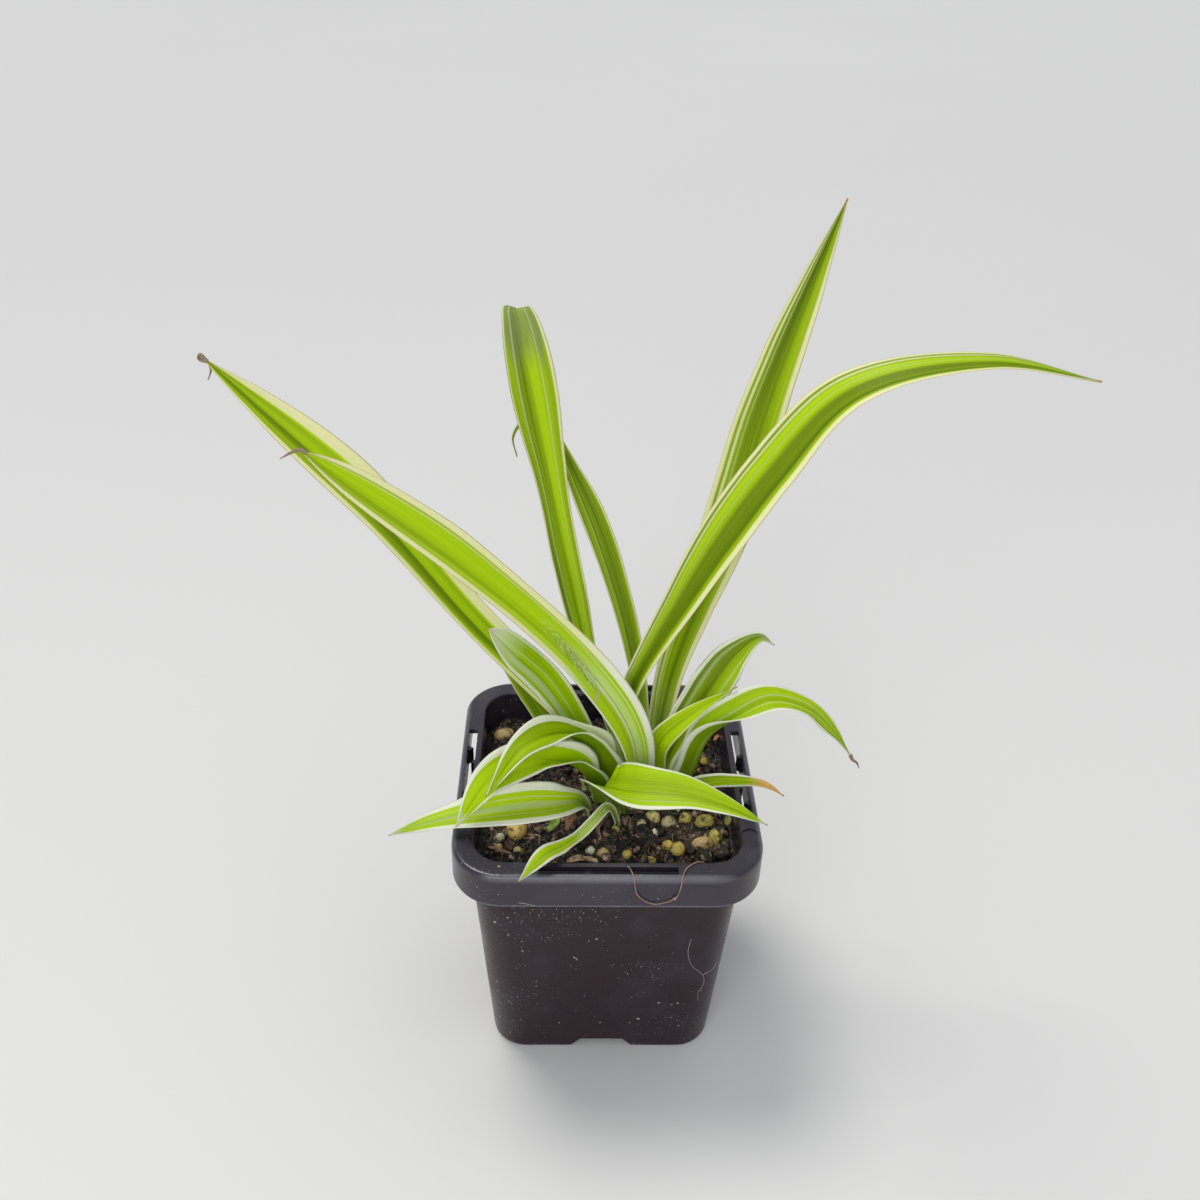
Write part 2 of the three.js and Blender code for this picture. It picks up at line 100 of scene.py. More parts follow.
def addStudio():
    # an even sky, a soft sun behind the plant, a weak lamp in front, and the floor
    world = bpy.data.worlds.new("pale_sky")
    bpy.context.scene.world = world
    world.use_nodes = True
    sky = world.node_tree.nodes["Background"]
    feed(sky, {"Color": studio["sky"], "Strength": studio["skyStrength"]})
    sun = bpy.data.lights.new("sun", "SUN")
    sun.energy = studio["sun"]["strength"]
    sun.angle = math.radians(studio["sun"]["spread"])
    sun.color = studio["sun"]["colour"]
    front = bpy.data.lights.new("front", "AREA")
    front.size = studio["front"]["width"]
    front.energy = studio["front"]["watts"]
    place = Vector(toFrame(studio["front"]["place"]))
    aim = Vector(toFrame(studio["front"]["aim"]))
    for data, start, back in ((sun, place, Vector(studio["sun"]["from"])), (front, place, place - aim)):
        lamp = bpy.data.objects.new(data.name, data)
        lamp.location = start
        lamp.rotation_euler = back.to_track_quat("Z", "Y").to_euler()
        bpy.context.scene.collection.objects.link(lamp)
    size, pale = studio["floorSize"], studio["floorColour"]
    corners = np.array([(-1, -1, 0), (1, -1, 0), (1, 1, 0), (-1, 1, 0)]) * size / 2
    floor = meshObject("floor", corners, np.array([[0, 1, 2, 3]]))
    material, shader, spot = newMaterial("pale_floor")
    spread = {"Vector": spot, "Location": (0.5,) * 3, "Scale": (1 / size,) * 3}
    clouds = spot.node("ShaderNodeMapping", spread).noise(*studio["clouds"])
    dim = tuple(c * studio["cloudShade"] for c in pale)
    colour = clouds.ramp([(0.3, dim), (0.7, pale)])
    feed(shader, {"Base Color": colour, "Roughness": studio["floorRoughness"]})
    floor.data.materials.append(material)
    bpy.context.scene.view_settings.view_transform = "Standard"
    print("camera, lamps and floor are in place")


def meshObject(name, points, faces, smooth=True):
    # faces is an array with one row of corners for each face, or a list of such arrays
    groups = faces if isinstance(faces, list) else [faces]
    mesh = bpy.data.meshes.new(name)
    sizes = np.concatenate([np.full(len(g), g.shape[1]) for g in groups])
    corners = np.concatenate([g.ravel() for g in groups]).astype(np.int32)
    mesh.vertices.add(len(points))
    mesh.vertices.foreach_set("co", np.ascontiguousarray(points, np.float32).ravel())
    mesh.loops.add(len(corners))
    mesh.loops.foreach_set("vertex_index", corners)
    mesh.polygons.add(len(sizes))
    starts = np.concatenate([[0], np.cumsum(sizes)[:-1]]).astype(np.int32)
    mesh.polygons.foreach_set("loop_start", starts)
    mesh.polygons.foreach_set("use_smooth", np.full(len(sizes), smooth))
    mesh.update(calc_edges=True)
    mesh.validate()
    piece = bpy.data.objects.new(name, mesh)
    bpy.context.scene.collection.objects.link(piece)
    return piece


def gridFaces(rows, columns, closeRows=False, closeColumns=False):
    # four corners for each cell of a grid of points, which may join up with itself either way
    i = np.arange(rows if closeRows else rows - 1)[:, None]
    j = np.arange(columns if closeColumns else columns - 1)[None]
    nextRow, nextColumn = (i + 1) % rows, (j + 1) % columns
    corners = [i * columns + j, i * columns + nextColumn, nextRow * columns + nextColumn,
               nextRow * columns + j]
    return np.stack([np.broadcast_to(c, (i.size, j.size)) for c in corners], -1).reshape(-1, 4)


def loftFaces(rings, around):
    # a closed skin over rings of points, lowest ring first, with a fan at each end; the fans'
    # middles are the two points that follow the rings
    j = np.arange(around)
    after = (j + 1) % around
    last = (rings - 1) * around
    low = np.stack([np.full(around, rings * around), after, j], -1)
    high = np.stack([np.full(around, rings * around + 1), last + j, last + after], -1)
    return [gridFaces(rings, around, closeColumns=True), low, high]


def loftPoints(rings):
    # the rings' points and then the middles of the first and the last ring
    return np.vstack([rings.reshape(-1, 3), rings[0].mean(0), rings[-1].mean(0)])


def skin(rings):
    # rings in millimetres as one closed part: its points in the model's frame, and its faces
    return toFrame(loftPoints(rings)), loftFaces(*rings.shape[:2])


def joined(parts):
    # several (points, faces) into one
    points, faces, count = [], [], 0
    for p, f in parts:
        points.append(p)
        faces += [g + count for g in (f if isinstance(f, list) else [f])]
        count += len(p)
    return np.vstack(points), faces


def thereAndBack(values):
    # a row's values for the loop over a shell's top and back underneath
    return np.concatenate([values, values[-2:0:-1]])


def ringValues(across, along, middle):
    # across and along at each point of a skin: ring by ring, then its two ends' middles
    return np.column_stack([np.append(np.tile(across, len(along)), (middle, middle)),
                            np.append(np.repeat(along, len(across)), (0, 1))])


def setPointValue(piece, name, values):
    # one number for each point, for a material to read
    attribute = piece.data.attributes.new(name, "FLOAT", "POINT")
    attribute.data.foreach_set("value", np.ascontiguousarray(values, np.float32))


def setTint(piece, colours):
    # one colour for each point
    tint = piece.data.attributes.new("tint", "FLOAT_COLOR", "POINT")
    rgba = np.column_stack([colours, np.ones(len(colours))])
    tint.data.foreach_set("color", rgba.astype(np.float32).ravel())


def setUv(piece, values):
    # each corner takes its point's across and along
    layer = piece.data.uv_layers.new(name="blade")
    corner = np.zeros(len(piece.data.loops), np.int32)
    piece.data.loops.foreach_get("vertex_index", corner)
    layer.data.foreach_set("uv", values[corner].astype(np.float32).ravel())


def finishPiece(piece, material, slot, *nodes):
    # the piece gets its material, its body and the nodes that it stands for; slot is not used
    piece.data.materials.clear()
    piece.data.materials.append(material)
    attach(piece, "root")
    if nodes:
        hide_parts(*nodes)


def along(values, share):
    # uniform Catmull-Rom through values at even steps, with the ends carried on in a line
    v = np.asarray(values, float)
    ends = np.concatenate([[2 * v[0] - v[1]], v, [2 * v[-1] - v[-2]]])
    x = np.clip(share, 0, 1) * (len(v) - 1)
    i = np.minimum(x.astype(int), len(v) - 2)
    t = (x - i).reshape((-1,) + (1,) * (v.ndim - 1))
    a, b, c, d = (ends[i + k] for k in range(4))
    return b + 0.5 * t * (c - a + t * (2 * a - 5 * b + 4 * c - d + t * (3 * (b - c) + d - a)))


def smoothPath(points, count):
    # centripetal Catmull-Rom through the points, at even steps of its length
    p = np.asarray(points, float)
    ends = np.vstack([2 * p[0] - p[1], p, 2 * p[-1] - p[-2]])
    a, b, c, d = ends[:-3, None], ends[1:-2, None], ends[2:-1, None], ends[3:, None]
    gap = [np.sqrt(np.linalg.norm(q - r, axis=-1, keepdims=True)) for q, r in ((b, a), (c, b), (d, c))]
    leave = ((b - a) / gap[0] - (c - a) / (gap[0] + gap[1]) + (c - b) / gap[1]) * gap[1]
    arrive = ((c - b) / gap[1] - (d - b) / (gap[1] + gap[2]) + (d - c) / gap[2]) * gap[1]
    t = np.linspace(0, 1, 40, endpoint=False)[None, :, None]
    fine = b + leave * t + (3 * (c - b) - 2 * leave - arrive) * t**2 \
        + (2 * (b - c) + leave + arrive) * t**3
    fine = np.vstack([fine.reshape(-1, 3), p[-1]])
    run = np.concatenate([[0], np.cumsum(np.linalg.norm(np.diff(fine, axis=0), axis=1))])
    steps = np.linspace(0, run[-1], count)
    return np.stack([np.interp(steps, run, fine[:, k]) for k in range(3)], -1)


def unit(vectors):
    # the same directions with a length of 1
    return vectors / np.maximum(np.linalg.norm(vectors, axis=-1, keepdims=True), 1e-12)


def valueNoise(x, y, cell, seed):
    # smooth noise from -1 to 1: random heights on a square lattice, eased between its corners
    heights = np.random.default_rng(seed).uniform(-1, 1, (256, 256))
    u, v = x / cell, y / cell
    i, j = np.floor(u).astype(int), np.floor(v).astype(int)
    s, t = u - i, v - j
    s, t = s * s * (3 - 2 * s), t * t * (3 - 2 * t)
    h = [[heights[(i + a) % 256, (j + b) % 256] for b in (0, 1)] for a in (0, 1)]
    return (h[0][0] * (1 - s) + h[1][0] * s) * (1 - t) + (h[0][1] * (1 - s) + h[1][1] * s) * t


def tubeRings(path, radii, sides):
    # a circle of each radius carried along a path, kept upright by its own side directions
    forward = unit(np.gradient(path, axis=0))
    side = unit(np.cross(forward, [0.31, 0.12, 0.94]))
    over = np.cross(forward, side)
    turn = np.linspace(0, 2 * np.pi, sides, endpoint=False)
    ring = side[:, None] * np.cos(turn)[None, :, None] + over[:, None] * np.sin(turn)[None, :, None]
    return path[:, None] + ring * np.asarray(radii)[:, None, None]


def thread(route, count, radii, sides):
    # a round thread along a route, as thick as radii says at its two ends
    return skin(tubeRings(smoothPath(route, count), np.linspace(*radii, count), sides))


class Field:
    # what nodes work out for each point of a surface; arithmetic on it adds Math nodes
    def __init__(self, socket):
        self.socket = socket

    def node(self, kind, inputs, output=0, **settings):
        return Field(addNode(self.socket.id_data, kind, inputs, **settings).outputs[output])

    def math(self, kind, *others):
        return self.node("ShaderNodeMath", dict(enumerate((self, *others))), operation=kind)

    def __add__(self, other):
        return self.math("ADD", other)

    def __sub__(self, other):
        return self.math("SUBTRACT", other)

    def __mul__(self, other):
        return self.math("MULTIPLY", other)

    def __abs__(self):
        return self.math("ABSOLUTE")

    def most(self, other):
        return self.math("MAXIMUM", other)

    def clamped(self):
        self.socket.node.use_clamp = True
        return self

    def stretch(self, low, high, outLow=0.0, outHigh=1.0):
        # outLow at low, outHigh at high, in a line between them and level beyond
        return self.node("ShaderNodeMapRange", {"Value": self, "From Min": low, "From Max": high,
                                                "To Min": outLow, "To Max": outHigh}, "Result")

    def ramp(self, stops):
        # a colour at each stop's place
        node = addNode(self.socket.id_data, "ShaderNodeValToRGB", {"Fac": self})
        elements = node.color_ramp.elements
        elements.remove(elements[-1])
        for k, (place, colour) in enumerate(stops):
            element = elements[0] if k == 0 else elements.new(place)
            element.position = place
            element.color = (*colour, 1)
        return Field(node.outputs["Color"])

    def noise(self, scale, detail=2.0, roughness=0.5):
        return self.node("ShaderNodeTexNoise", {"Vector": self, "Scale": scale, "Detail": detail,
                                                "Roughness": roughness}, "Fac")

    def cells(self, scale):
        # random cells: how far off its cell's middle a point is, and three numbers for each cell
        node = addNode(self.socket.id_data, "ShaderNodeTexVoronoi", {"Vector": self, "Scale": scale})
        picks = Field(node.outputs["Color"]).split("ShaderNodeSeparateColor")
        return [Field(node.outputs["Distance"]), *picks]

    def split(self, kind="ShaderNodeSeparateXYZ"):
        return [Field(socket) for socket in addNode(self.socket.id_data, kind, {0: self}).outputs]

    def attribute(self, name, output="Fac"):
        # a value that the mesh carries at its points
        return self.node("ShaderNodeAttribute", {}, output, attribute_name=name)


def feed(node, inputs):
    # each input takes a field, or one value all over
    for name, value in inputs.items():
        socket = node.inputs[name]
        if isinstance(value, Field):
            node.id_data.links.new(value.socket, socket)
        else:
            socket.default_value = (*value, 1) if socket.type == "RGBA" else value


def addNode(tree, kind, inputs=None, **settings):
    # settings first, because they can change which inputs a node has
    node = tree.nodes.new(kind)
    for name, value in settings.items():
        setattr(node, name, value)
    feed(node, inputs or {})
    return node


def newMaterial(name):
    # a material, its shader and the object's own coordinates
    material = bpy.data.materials.new(name)
    material.use_nodes = True
    tree = material.node_tree
    place = Field(addNode(tree, "ShaderNodeTexCoord").outputs["Object"])
    return material, tree.nodes["Principled BSDF"], place


def blend(share, first, second, kind="MIX"):
    # first where share is 0, second where it is 1
    inputs = {0: share, 6: first, 7: second}
    return share.node("ShaderNodeMix", inputs, 2, data_type="RGBA", blend_type=kind)


def bump(shader, height, depth):
    # depth is in metres
    normal = height.node("ShaderNodeBump", {"Height": height, "Distance": depth}, "Normal")
    feed(shader, {"Normal": normal})


def mottledMaterial(name, look):
    # one colour clouded with another
    material, shader, place = newMaterial(name)
    mottle = place.noise(*look["mottle"])
    feed(shader, {"Base Color": blend(mottle, *look["colours"]), "Roughness": look["roughness"]})
    if "depth" in look:
        bump(shader, mottle, look["depth"])
    return material


potShape = {
    "rimWidth": 80, "height": 77, "skirtDrop": 10.4, "skirtWall": 1.3, "flangeWidth": 5.6,
    "flangeThick": 1.5, "bodyTop": 70.7, "bodyBottom": 61.9, "wall": 1.2, "rimCorner": 13.5,
    "bodyCorner": 9.6, "footDepth": 3.6, "floorThick": 1.4,
    "cornerSteps": 22, "sideSteps": 40,
    "slotLength": 35, "slotWidth": 2.4, "slotTall": 2.4, "slotLevel": 0.4,
    "lipInset": 0.3, "lipTall": 1.2, "lipRise": 0.8, "lipFlare": 0.55,  # the slot's rounded upper edge
    "notchBottom": 20, "notchTop": 12, "notchLong": 8,
    "drainLength": 12, "drainWidth": 3.6, "drainOffset": 17, "drainTall": 6, "drainLevel": 4,
    "toothSeat": 0.4, "toothRise": 0.2, "sharpFrom": 32,  # degrees
    "toothLength": 3.2, "toothDepth": 1.7, "toothHeight": 5, "outerTeeth": (10.9, -8), "innerTooth": 5,
    "dimple": (36.9, -24.4, 2.2, 0.4), "dimpleSides": 28,  # x, y, radius, depth
}


potLook = {
    "dark": (0.021, 0.0068, 0.0120),
    "rim": (0.018, 0.0138, 0.026),
    "worn": (0.050, 0.044, 0.058),
    # edge is the colour of a painted highlight along the rim's top outer edge and the skirt's lower edge
    "edge": (0.20, 0.20, 0.23),
    "dust": (0.62, 0.55, 0.47),
    "roughness": (0.3, 1.4, 0.19, 0.75),  # from clean and smooth to dusty
    "shine": (0, 1, 0.28, 0.55),  # from body to rim
    # how much of each the cloudy noise lets through: from, to, least, most
    "wear": (0.5, 0.75, 0, 0.4), "edgeHighlightShare": (0.3, 0.6, 0.25, 0.6), "loose": (0.35, 0.6),
    "patchShare": (0.47, 0.66, 0, 0.7),
    "cloud": (55, 4, 0.6), "patches": (45, 4, 0.65), "grain": (1500, 3, 0.6), "swell": (60, 1),
    # where things fade in or out, in metres from the middle of the foot
    "skirt": (0.064, 0.068), "topEdge": (0.0748, 0.0762), "outerEdge": (0.0384, 0.0396),
    "lowEdge": 0.0669, "lowEdgeFade": (0.0006, 0.0002),
    "cornerDust": (0.0004, 0.0010), "cornerHeight": (0.030, 0.003),
    "cluster": (-0.014, 0.056), "clusterWide": (0.018, 0.004), "clusterTall": (0.011, 0.002),
    "grit": ((560, 0.16), (1300, 0.36), (2400, 0.45)),  # cells in a metre, share filled at the most
    "rare": 0.985, "speck": (0, 1, 0.06, 0.30), "speckEdge": 0.06, "strength": (0, 1, 0.35, 1),
    "swellHeight": 4.0, "dustHeight": 2.0, "bump": 0.00005,
}


# fine hairs and a scratch on the front, as routes and their radii
marks = {
    "hair": ([(22.6, -34.35, 48.6), (22.2, -33.95, 43.0), (23.6, -33.60, 37.6), (26.8, -33.30, 33.4),
              (27.4, -33.05, 29.6), (26.2, -32.80, 25.6), (26.4, -32.50, 21.6)], 0.045),
    "branch": ([(26.8, -33.30, 33.4), (29.4, -33.45, 36.0), (30.2, -33.70, 39.4)], 0.04),
    "scratch": ([(-22.4, -40.02, 68.3), (-20.6, -40.02, 67.9), (-18.2, -40.02, 67.2)], 0.06),
    "fleck": ([(-8.4, -33.62, 40.9), (-7.7, -33.60, 40.3), (-7.2, -33.55, 39.5)], 0.12),
}


markLook = {"mottle": (900, 2), "colours": ((0.55, 0.50, 0.44), potLook["dust"]), "roughness": 0.7,
            "steps": 50, "sides": 6}


def ringDirections(cornerSteps, sideSteps):
    # for each place round a square with round corners: the corner's sign for x and y, which
    # slides from one corner to the next along a side, and the outward direction
    signs = np.array([(1, 1), (-1, 1), (-1, -1), (1, -1)], float)
    hub, out = [], []
    for quarter in range(4):
        start = quarter * np.pi / 2
        angle = np.linspace(start, start + np.pi / 2, cornerSteps + 1)
        hub.append(np.repeat(signs[quarter][None], cornerSteps + 1, 0))
        out.append(np.stack([np.cos(angle), np.sin(angle)], -1))
        share = np.linspace(0, 1, sideSteps + 1)[1:-1, None]
        hub.append(signs[quarter] * (1 - share) + signs[(quarter + 1) % 4] * share)
        out.append(np.repeat(out[-1][-1:], sideSteps - 1, 0))
    return np.vstack(hub), np.vstack(out)


def squareRings(stations, cornerSteps, sideSteps):
    # each station's width, corner radius and height give one ring: the corner's hub at
    # width/2 - corner, plus the radius outwards
    hub, out = ringDirections(cornerSteps, sideSteps)
    s = np.asarray(stations, float)
    flat = hub[None] * (s[:, 0] / 2 - s[:, 1])[:, None, None] + out[None] * s[:, 1][:, None, None]
    height = np.broadcast_to(s[:, 2][:, None, None], flat.shape[:2] + (1,))
    return np.concatenate([flat, height], -1)


def quarterRound(fromPoint, corner, toPoint, steps=5):
    # a bend between two stations, drawn as a curve pulled towards the corner between them
    t = np.linspace(0, 1, steps)[:, None]
    a, b, c = (np.asarray(p, float) for p in (fromPoint, corner, toPoint))
    return (1 - t)**2 * a + 2 * t * (1 - t) * b + t**2 * c


def straight(a, b, steps):
    # points at even steps between two stations, without the stations
    t = np.linspace(0, 1, steps + 2)[1:-1, None]
    return np.asarray(a, float) * (1 - t) + np.asarray(b, float) * t


def potStations():
    # one line from the middle under the floor, out round the foot, up the outside, over the
    # skirt and rim, and down the inside to the middle of the floor: width, corner, height
    p = potShape
    skirtFoot, under, top = p["height"] - p["skirtDrop"], p["height"] - p["flangeThick"], p["height"]
    slope = (p["bodyTop"] - p["bodyBottom"]) / skirtFoot
    outer = lambda z: p["bodyBottom"] + slope * z
    inner = lambda z: outer(z) - 2 * p["wall"]
    body, inside = p["bodyCorner"], p["bodyCorner"] - p["wall"]
    wide, skirtIn = p["rimWidth"], p["rimWidth"] - 2 * p["skirtWall"]
    rim, skirt = p["rimCorner"], p["rimCorner"] - p["skirtWall"]
    foot, mouth = outer(0) - 5, wide - 2 * p["flangeWidth"]
    low, floor = p["footDepth"], p["footDepth"] + p["floorThick"]
    first, last = (2, 0.6, low), (2, 0.6, floor)
    # each bend: points on the straight before it, its start, corner and end, and its own points
    bends = [
        (0, first, first, first, 1),
        (6, (foot - 2, inside - 1, low), (foot, inside, low), (foot, inside, low - 1), 5),
        (0, (foot, inside, 0.5), (foot, inside, 0), (foot + 0.8, inside + 0.2, 0), 4),
        (0, (outer(0) - 1.4, body - 0.7, 0), (outer(0), body, 0), (outer(1.2), body, 1.2), 6),
        (40, (outer(under - 0.8), body, under - 0.8), (outer(under), body, under),
         (outer(under) + 1.4, body + 0.7, under), 5),
        (0, (skirtIn - 1.2, skirt - 0.6, under), (skirtIn, skirt, under), (skirtIn, skirt, under - 0.8), 5),
        (8, (skirtIn, skirt, skirtFoot + 0.4), (skirtIn, skirt, skirtFoot),
         (skirtIn + 0.8, skirt + 0.4, skirtFoot), 4),
        (0, (wide - 1.0, rim - 0.5, skirtFoot), (wide, rim, skirtFoot), (wide, rim, skirtFoot + 0.6), 5),
        (12, (wide, rim, top - 1.3), (wide, rim, top), (wide - 2.6, rim - 1.3, top), 8),
        (8, (mouth + 1.2, inside + 0.6, top), (mouth, inside, top), (mouth, inside, top - 0.8), 5),
        (24, (inner(floor + 2.5), inside, floor + 2.5), (inner(floor), inside, floor),
         (inner(floor) - 4, inside - 1, floor), 5),
        (6, last, last, last, 1),
    ]
    before = [first] + [end for _, _, _, end, _ in bends]
    return np.vstack([part for end, (count, start, corner, stop, steps) in zip(before, bends)
                      for part in (straight(end, start, count), quarterRound(start, corner, stop, steps))])


def blockPoints(size, middle, flare=0.0):
    # an upright block whose top is wider than its foot by flare on each side
    x, y, z = (s / 2 for s in size)
    low = np.array([(-x, -y), (x, -y), (x, y), (-x, y)])
    high = low + np.sign(low) * flare
    ends = [np.column_stack([low, np.full(4, -z)]), np.column_stack([high, np.full(4, z)])]
    return np.vstack(ends) + middle


blockFaces = np.array([[0, 3, 2, 1], [4, 5, 6, 7], [0, 1, 5, 4], [1, 2, 6, 5], [2, 3, 7, 6], [3, 0, 4, 7]])


def onFourSides(shape, faces):
    # a shape in millimetres, turned by quarters about the pot's upright middle line
    x, y, z = shape.T
    turns = ((1, 0), (0, 1), (-1, 0), (0, -1))
    return [(toFrame(np.stack([c * x - s * y, s * x + c * y, z], -1)), faces) for c, s in turns]


def cutAway(piece, points, faces):
    # takes a closed cutter's space out of a piece
    cutter = meshObject("cutter", points, faces)
    modifier = piece.modifiers.new("cut", "BOOLEAN")
    modifier.object = cutter
    modifier.solver = "EXACT"
    cut = bpy.data.meshes.new_from_object(piece.evaluated_get(bpy.context.evaluated_depsgraph_get()))
    piece.modifiers.clear()
    piece.data = cut
    bpy.data.objects.remove(cutter)


def buildPot():
    # the line is carried round the square, then slots, drains, notches and a dimple are cut out
    p = potShape
    pot = meshObject("nursery_pot", *skin(squareRings(potStations(), p["cornerSteps"], p["sideSteps"])))
    slope = (p["bodyTop"] - p["bodyBottom"]) / (p["height"] - p["skirtDrop"])
    under = p["height"] - p["flangeThick"]
    wallFace = (p["bodyBottom"] + slope * under) / 2
    skirtInner = p["rimWidth"] / 2 - p["skirtWall"]
    top = np.array([0, -(wallFace + skirtInner) / 2, p["height"] - p["slotLevel"]])
    length, width, depth, inset = p["slotLength"], p["slotWidth"], p["footDepth"], p["lipInset"]
    lip = top + (0, 0, p["lipRise"])
    cutters = [
        blockPoints((length, width, p["slotTall"]), top),
        blockPoints((length - inset, width - inset, p["lipTall"]), lip, p["lipFlare"]),
        blockPoints((p["drainLength"], p["drainWidth"], p["drainTall"]),
                    (0, -p["drainOffset"], p["drainLevel"])),
        blockPoints((p["notchBottom"], p["notchLong"], depth + 1),
                    (0, 1 - p["bodyBottom"] / 2, (depth - 1) / 2),
                    ((p["notchTop"] - p["notchBottom"]) / 2, 0)),
    ]
    for shape in cutters:
        cutAway(pot, *joined(onFourSides(shape, blockFaces)))
    x, y, radius, depth = p["dimple"]
    turn = np.linspace(0, 2 * np.pi, p["dimpleSides"], endpoint=False)
    disc = np.stack([x + radius * np.cos(turn), y + radius * np.sin(turn), p["height"] + 0 * turn], -1)
    cutAway(pot, *skin(np.stack([disc - (0, 0, depth), disc + (0, 0, depth)])))
    pot.data.set_sharp_from_angle(angle=math.radians(p["sharpFrom"]))
    finishPiece(pot, potMaterial(), "pot_plastic", "pot")
    teeth = buildTeeth(skirtInner, p["bodyBottom"] / 2 + slope * (under - p["toothHeight"]) / 2)
    finishPiece(teeth, pot.data.materials[0], "pot_plastic")
    steps, sides = markLook["steps"], markLook["sides"]
    lines = [thread(route, steps, (radius, radius / 2), sides) for route, radius in marks.values()]
    lines = meshObject("dust_marks", *joined(lines))
    finishPiece(lines, mottledMaterial("dust_mark", markLook), "pot_plastic")
    print("pot:", len(pot.data.polygons), "faces")


def buildTeeth(skirtInner, wallFace):
    # three-cornered ribs in the gap behind the skirt
    p = potShape
    top = p["height"] - p["flangeThick"] + p["toothRise"]
    x = np.array([-1, 1, 0]) * p["toothLength"] / 2
    parts = []
    faces = [np.array([[0, 2, 1], [3, 4, 5]]), np.array([[0, 1, 4, 3], [1, 2, 5, 4], [2, 0, 3, 5]])]
    spots = [(place, skirtInner, 1) for place in p["outerTeeth"]] + [(p["innerTooth"], wallFace, -1)]
    for place, face, way in spots:
        y = face + way * np.array([p["toothSeat"], p["toothSeat"], -p["toothDepth"]])
        levels = (top, top - p["toothHeight"]) if way > 0 else (top - p["toothHeight"], top)
        shape = np.vstack([np.stack([place + x, y, np.full(3, z)], -1) for z in levels])
        parts += onFourSides(shape, faces)
    return meshObject("rim_teeth", *joined(parts), smooth=False)


def potMaterial():
    # satin moulded plastic: cloudy wear, a painted highlight along the rim's top outer edge and the
    # skirt's lower edge, and grit of three sizes that clings in a cluster under the rim, in patches and low
    # on the corners
    look = potLook
    material, shader, place = newMaterial("pot_plastic")
    x, y, z = (axis - float(middle) for axis, middle in zip(place.split(), potMiddle))
    cloud = place.noise(*look["cloud"])
    rimShare = z.stretch(*look["skirt"])
    plastic = blend(rimShare, look["dark"], look["rim"])
    plastic = blend(cloud.stretch(*look["wear"]), plastic, look["worn"])
    # painted highlight: a pale line along the rim's top outer edge and the skirt's lower edge, broken up by
    # the cloudy noise
    outer = abs(x).most(abs(y)).stretch(*look["outerEdge"])
    top = outer * z.stretch(*look["topEdge"])
    low = outer * abs(z - look["lowEdge"]).stretch(*look["lowEdgeFade"])
    plastic = blend(top.most(low) * cloud.stretch(*look["edgeHighlightShare"]), plastic, look["edge"])
    patches = place.noise(*look["patches"]).stretch(*look["patchShare"])
    corners = (abs(x) * abs(y)).stretch(*look["cornerDust"]) * z.stretch(*look["cornerHeight"])
    left, height = look["cluster"]
    cluster = abs(x - left).stretch(*look["clusterWide"]) * abs(z - height).stretch(*look["clusterTall"])
    where = cluster.most(((corners + patches) * cloud.stretch(*look["loose"])).clamped())
    dusty = None
    for scale, share in look["grit"]:
        distance, chance, size, strength = place.cells(scale)
        present = (chance - where.stretch(0, 1, look["rare"], 1 - share)).stretch(0.0, 0.01)
        dot = (size.stretch(*look["speck"]) - distance).stretch(0.0, look["speckEdge"])
        dot = dot * present * strength.stretch(*look["strength"])
        dusty = dusty.most(dot) if dusty else dot
    feed(shader, {
        "Base Color": blend(dusty, plastic, look["dust"]),
        "Roughness": (cloud + dusty * 2.0).stretch(*look["roughness"]),
        "Specular IOR Level": rimShare.stretch(*look["shine"]),
    })
    swell = place.noise(*look["swell"]) * look["swellHeight"]
    bump(shader, place.noise(*look["grain"]) + swell + dusty * look["dustHeight"], look["bump"])
    return material


soilShape = {
    "top": 66.6, "width": 69.0, "corner": 8.1, "bump": 0.42, "depth": 6,
    "rings": 170, "cornerSteps": 30, "sideSteps": 76, "seed": 11,
    "crumbs": 3600, "crumbSize": (0.35, 1.6), "clods": 260, "clodSize": (1.6, 3.8), "fibres": 260,
    "reach": 33.2, "fibreReach": 31, "fibreEnd": 33.4, "roundness": 6,  # how far from the middle bits lie
    "grains": 46, "grainRings": 14, "grainSides": 20,
}
soilLook = {
    # dark is the peat's own near-black and also paints the shade between clods; brown and crumb are paler
    # than peat, to paint the light on them
    "dark": (0.008, 0.005, 0.004),
    "brown": (0.235, 0.128, 0.075),
    "crumb": (0.520, 0.320, 0.205),
    "fibre": [(0, (0.05, 0.028, 0.016)), (0.6, (0.20, 0.11, 0.06)), (1, (0.50, 0.33, 0.20))],
    "fibreGrain": (2500, 2), "fibreRoughness": 0.8, "fibreBump": 0.0001,
    "clods": (420, 5, 0.65), "patches": (110, 3, 0.6), "wet": (260, 3), "fine": (1900, 5, 0.7),
    "clodShare": (0.49, 0.61), "patchShare": (0.3, 0.7), "toneShare": (0.6, 1.0),
    "roughness": (0.40, 0.62, 0.16, 0.85), "shine": 0.7, "bump": 0.0005,
}
bitLook = {
    "stain": (0.03, 0.017, 0.010), "clouds": (650, 4, 0.65), "share": (0.45, 0.62, 0.0, 0.8),
    "roughness": 0.45, "bump": 0.0002,
}
grainLook = {
    "light": (0.75, 0.62, 0.34), "mottle": (700, 4, 0.65), "lightShare": (0.35, 0.75),
    "peat": (0.035, 0.022, 0.012), "dirt": (420, 4, 0.7), "dirtShare": (0.50, 0.60, 0.0, 0.85),
    "pits": 1500, "pitShare": (0.24, 0.14, 0.0, 0.75), "roughness": (0.3, 0.7, 0.3, 0.6),
    "wax": 0.1, "waxDepth": 0.001, "fine": (1600, 3), "bump": 0.00018,
}
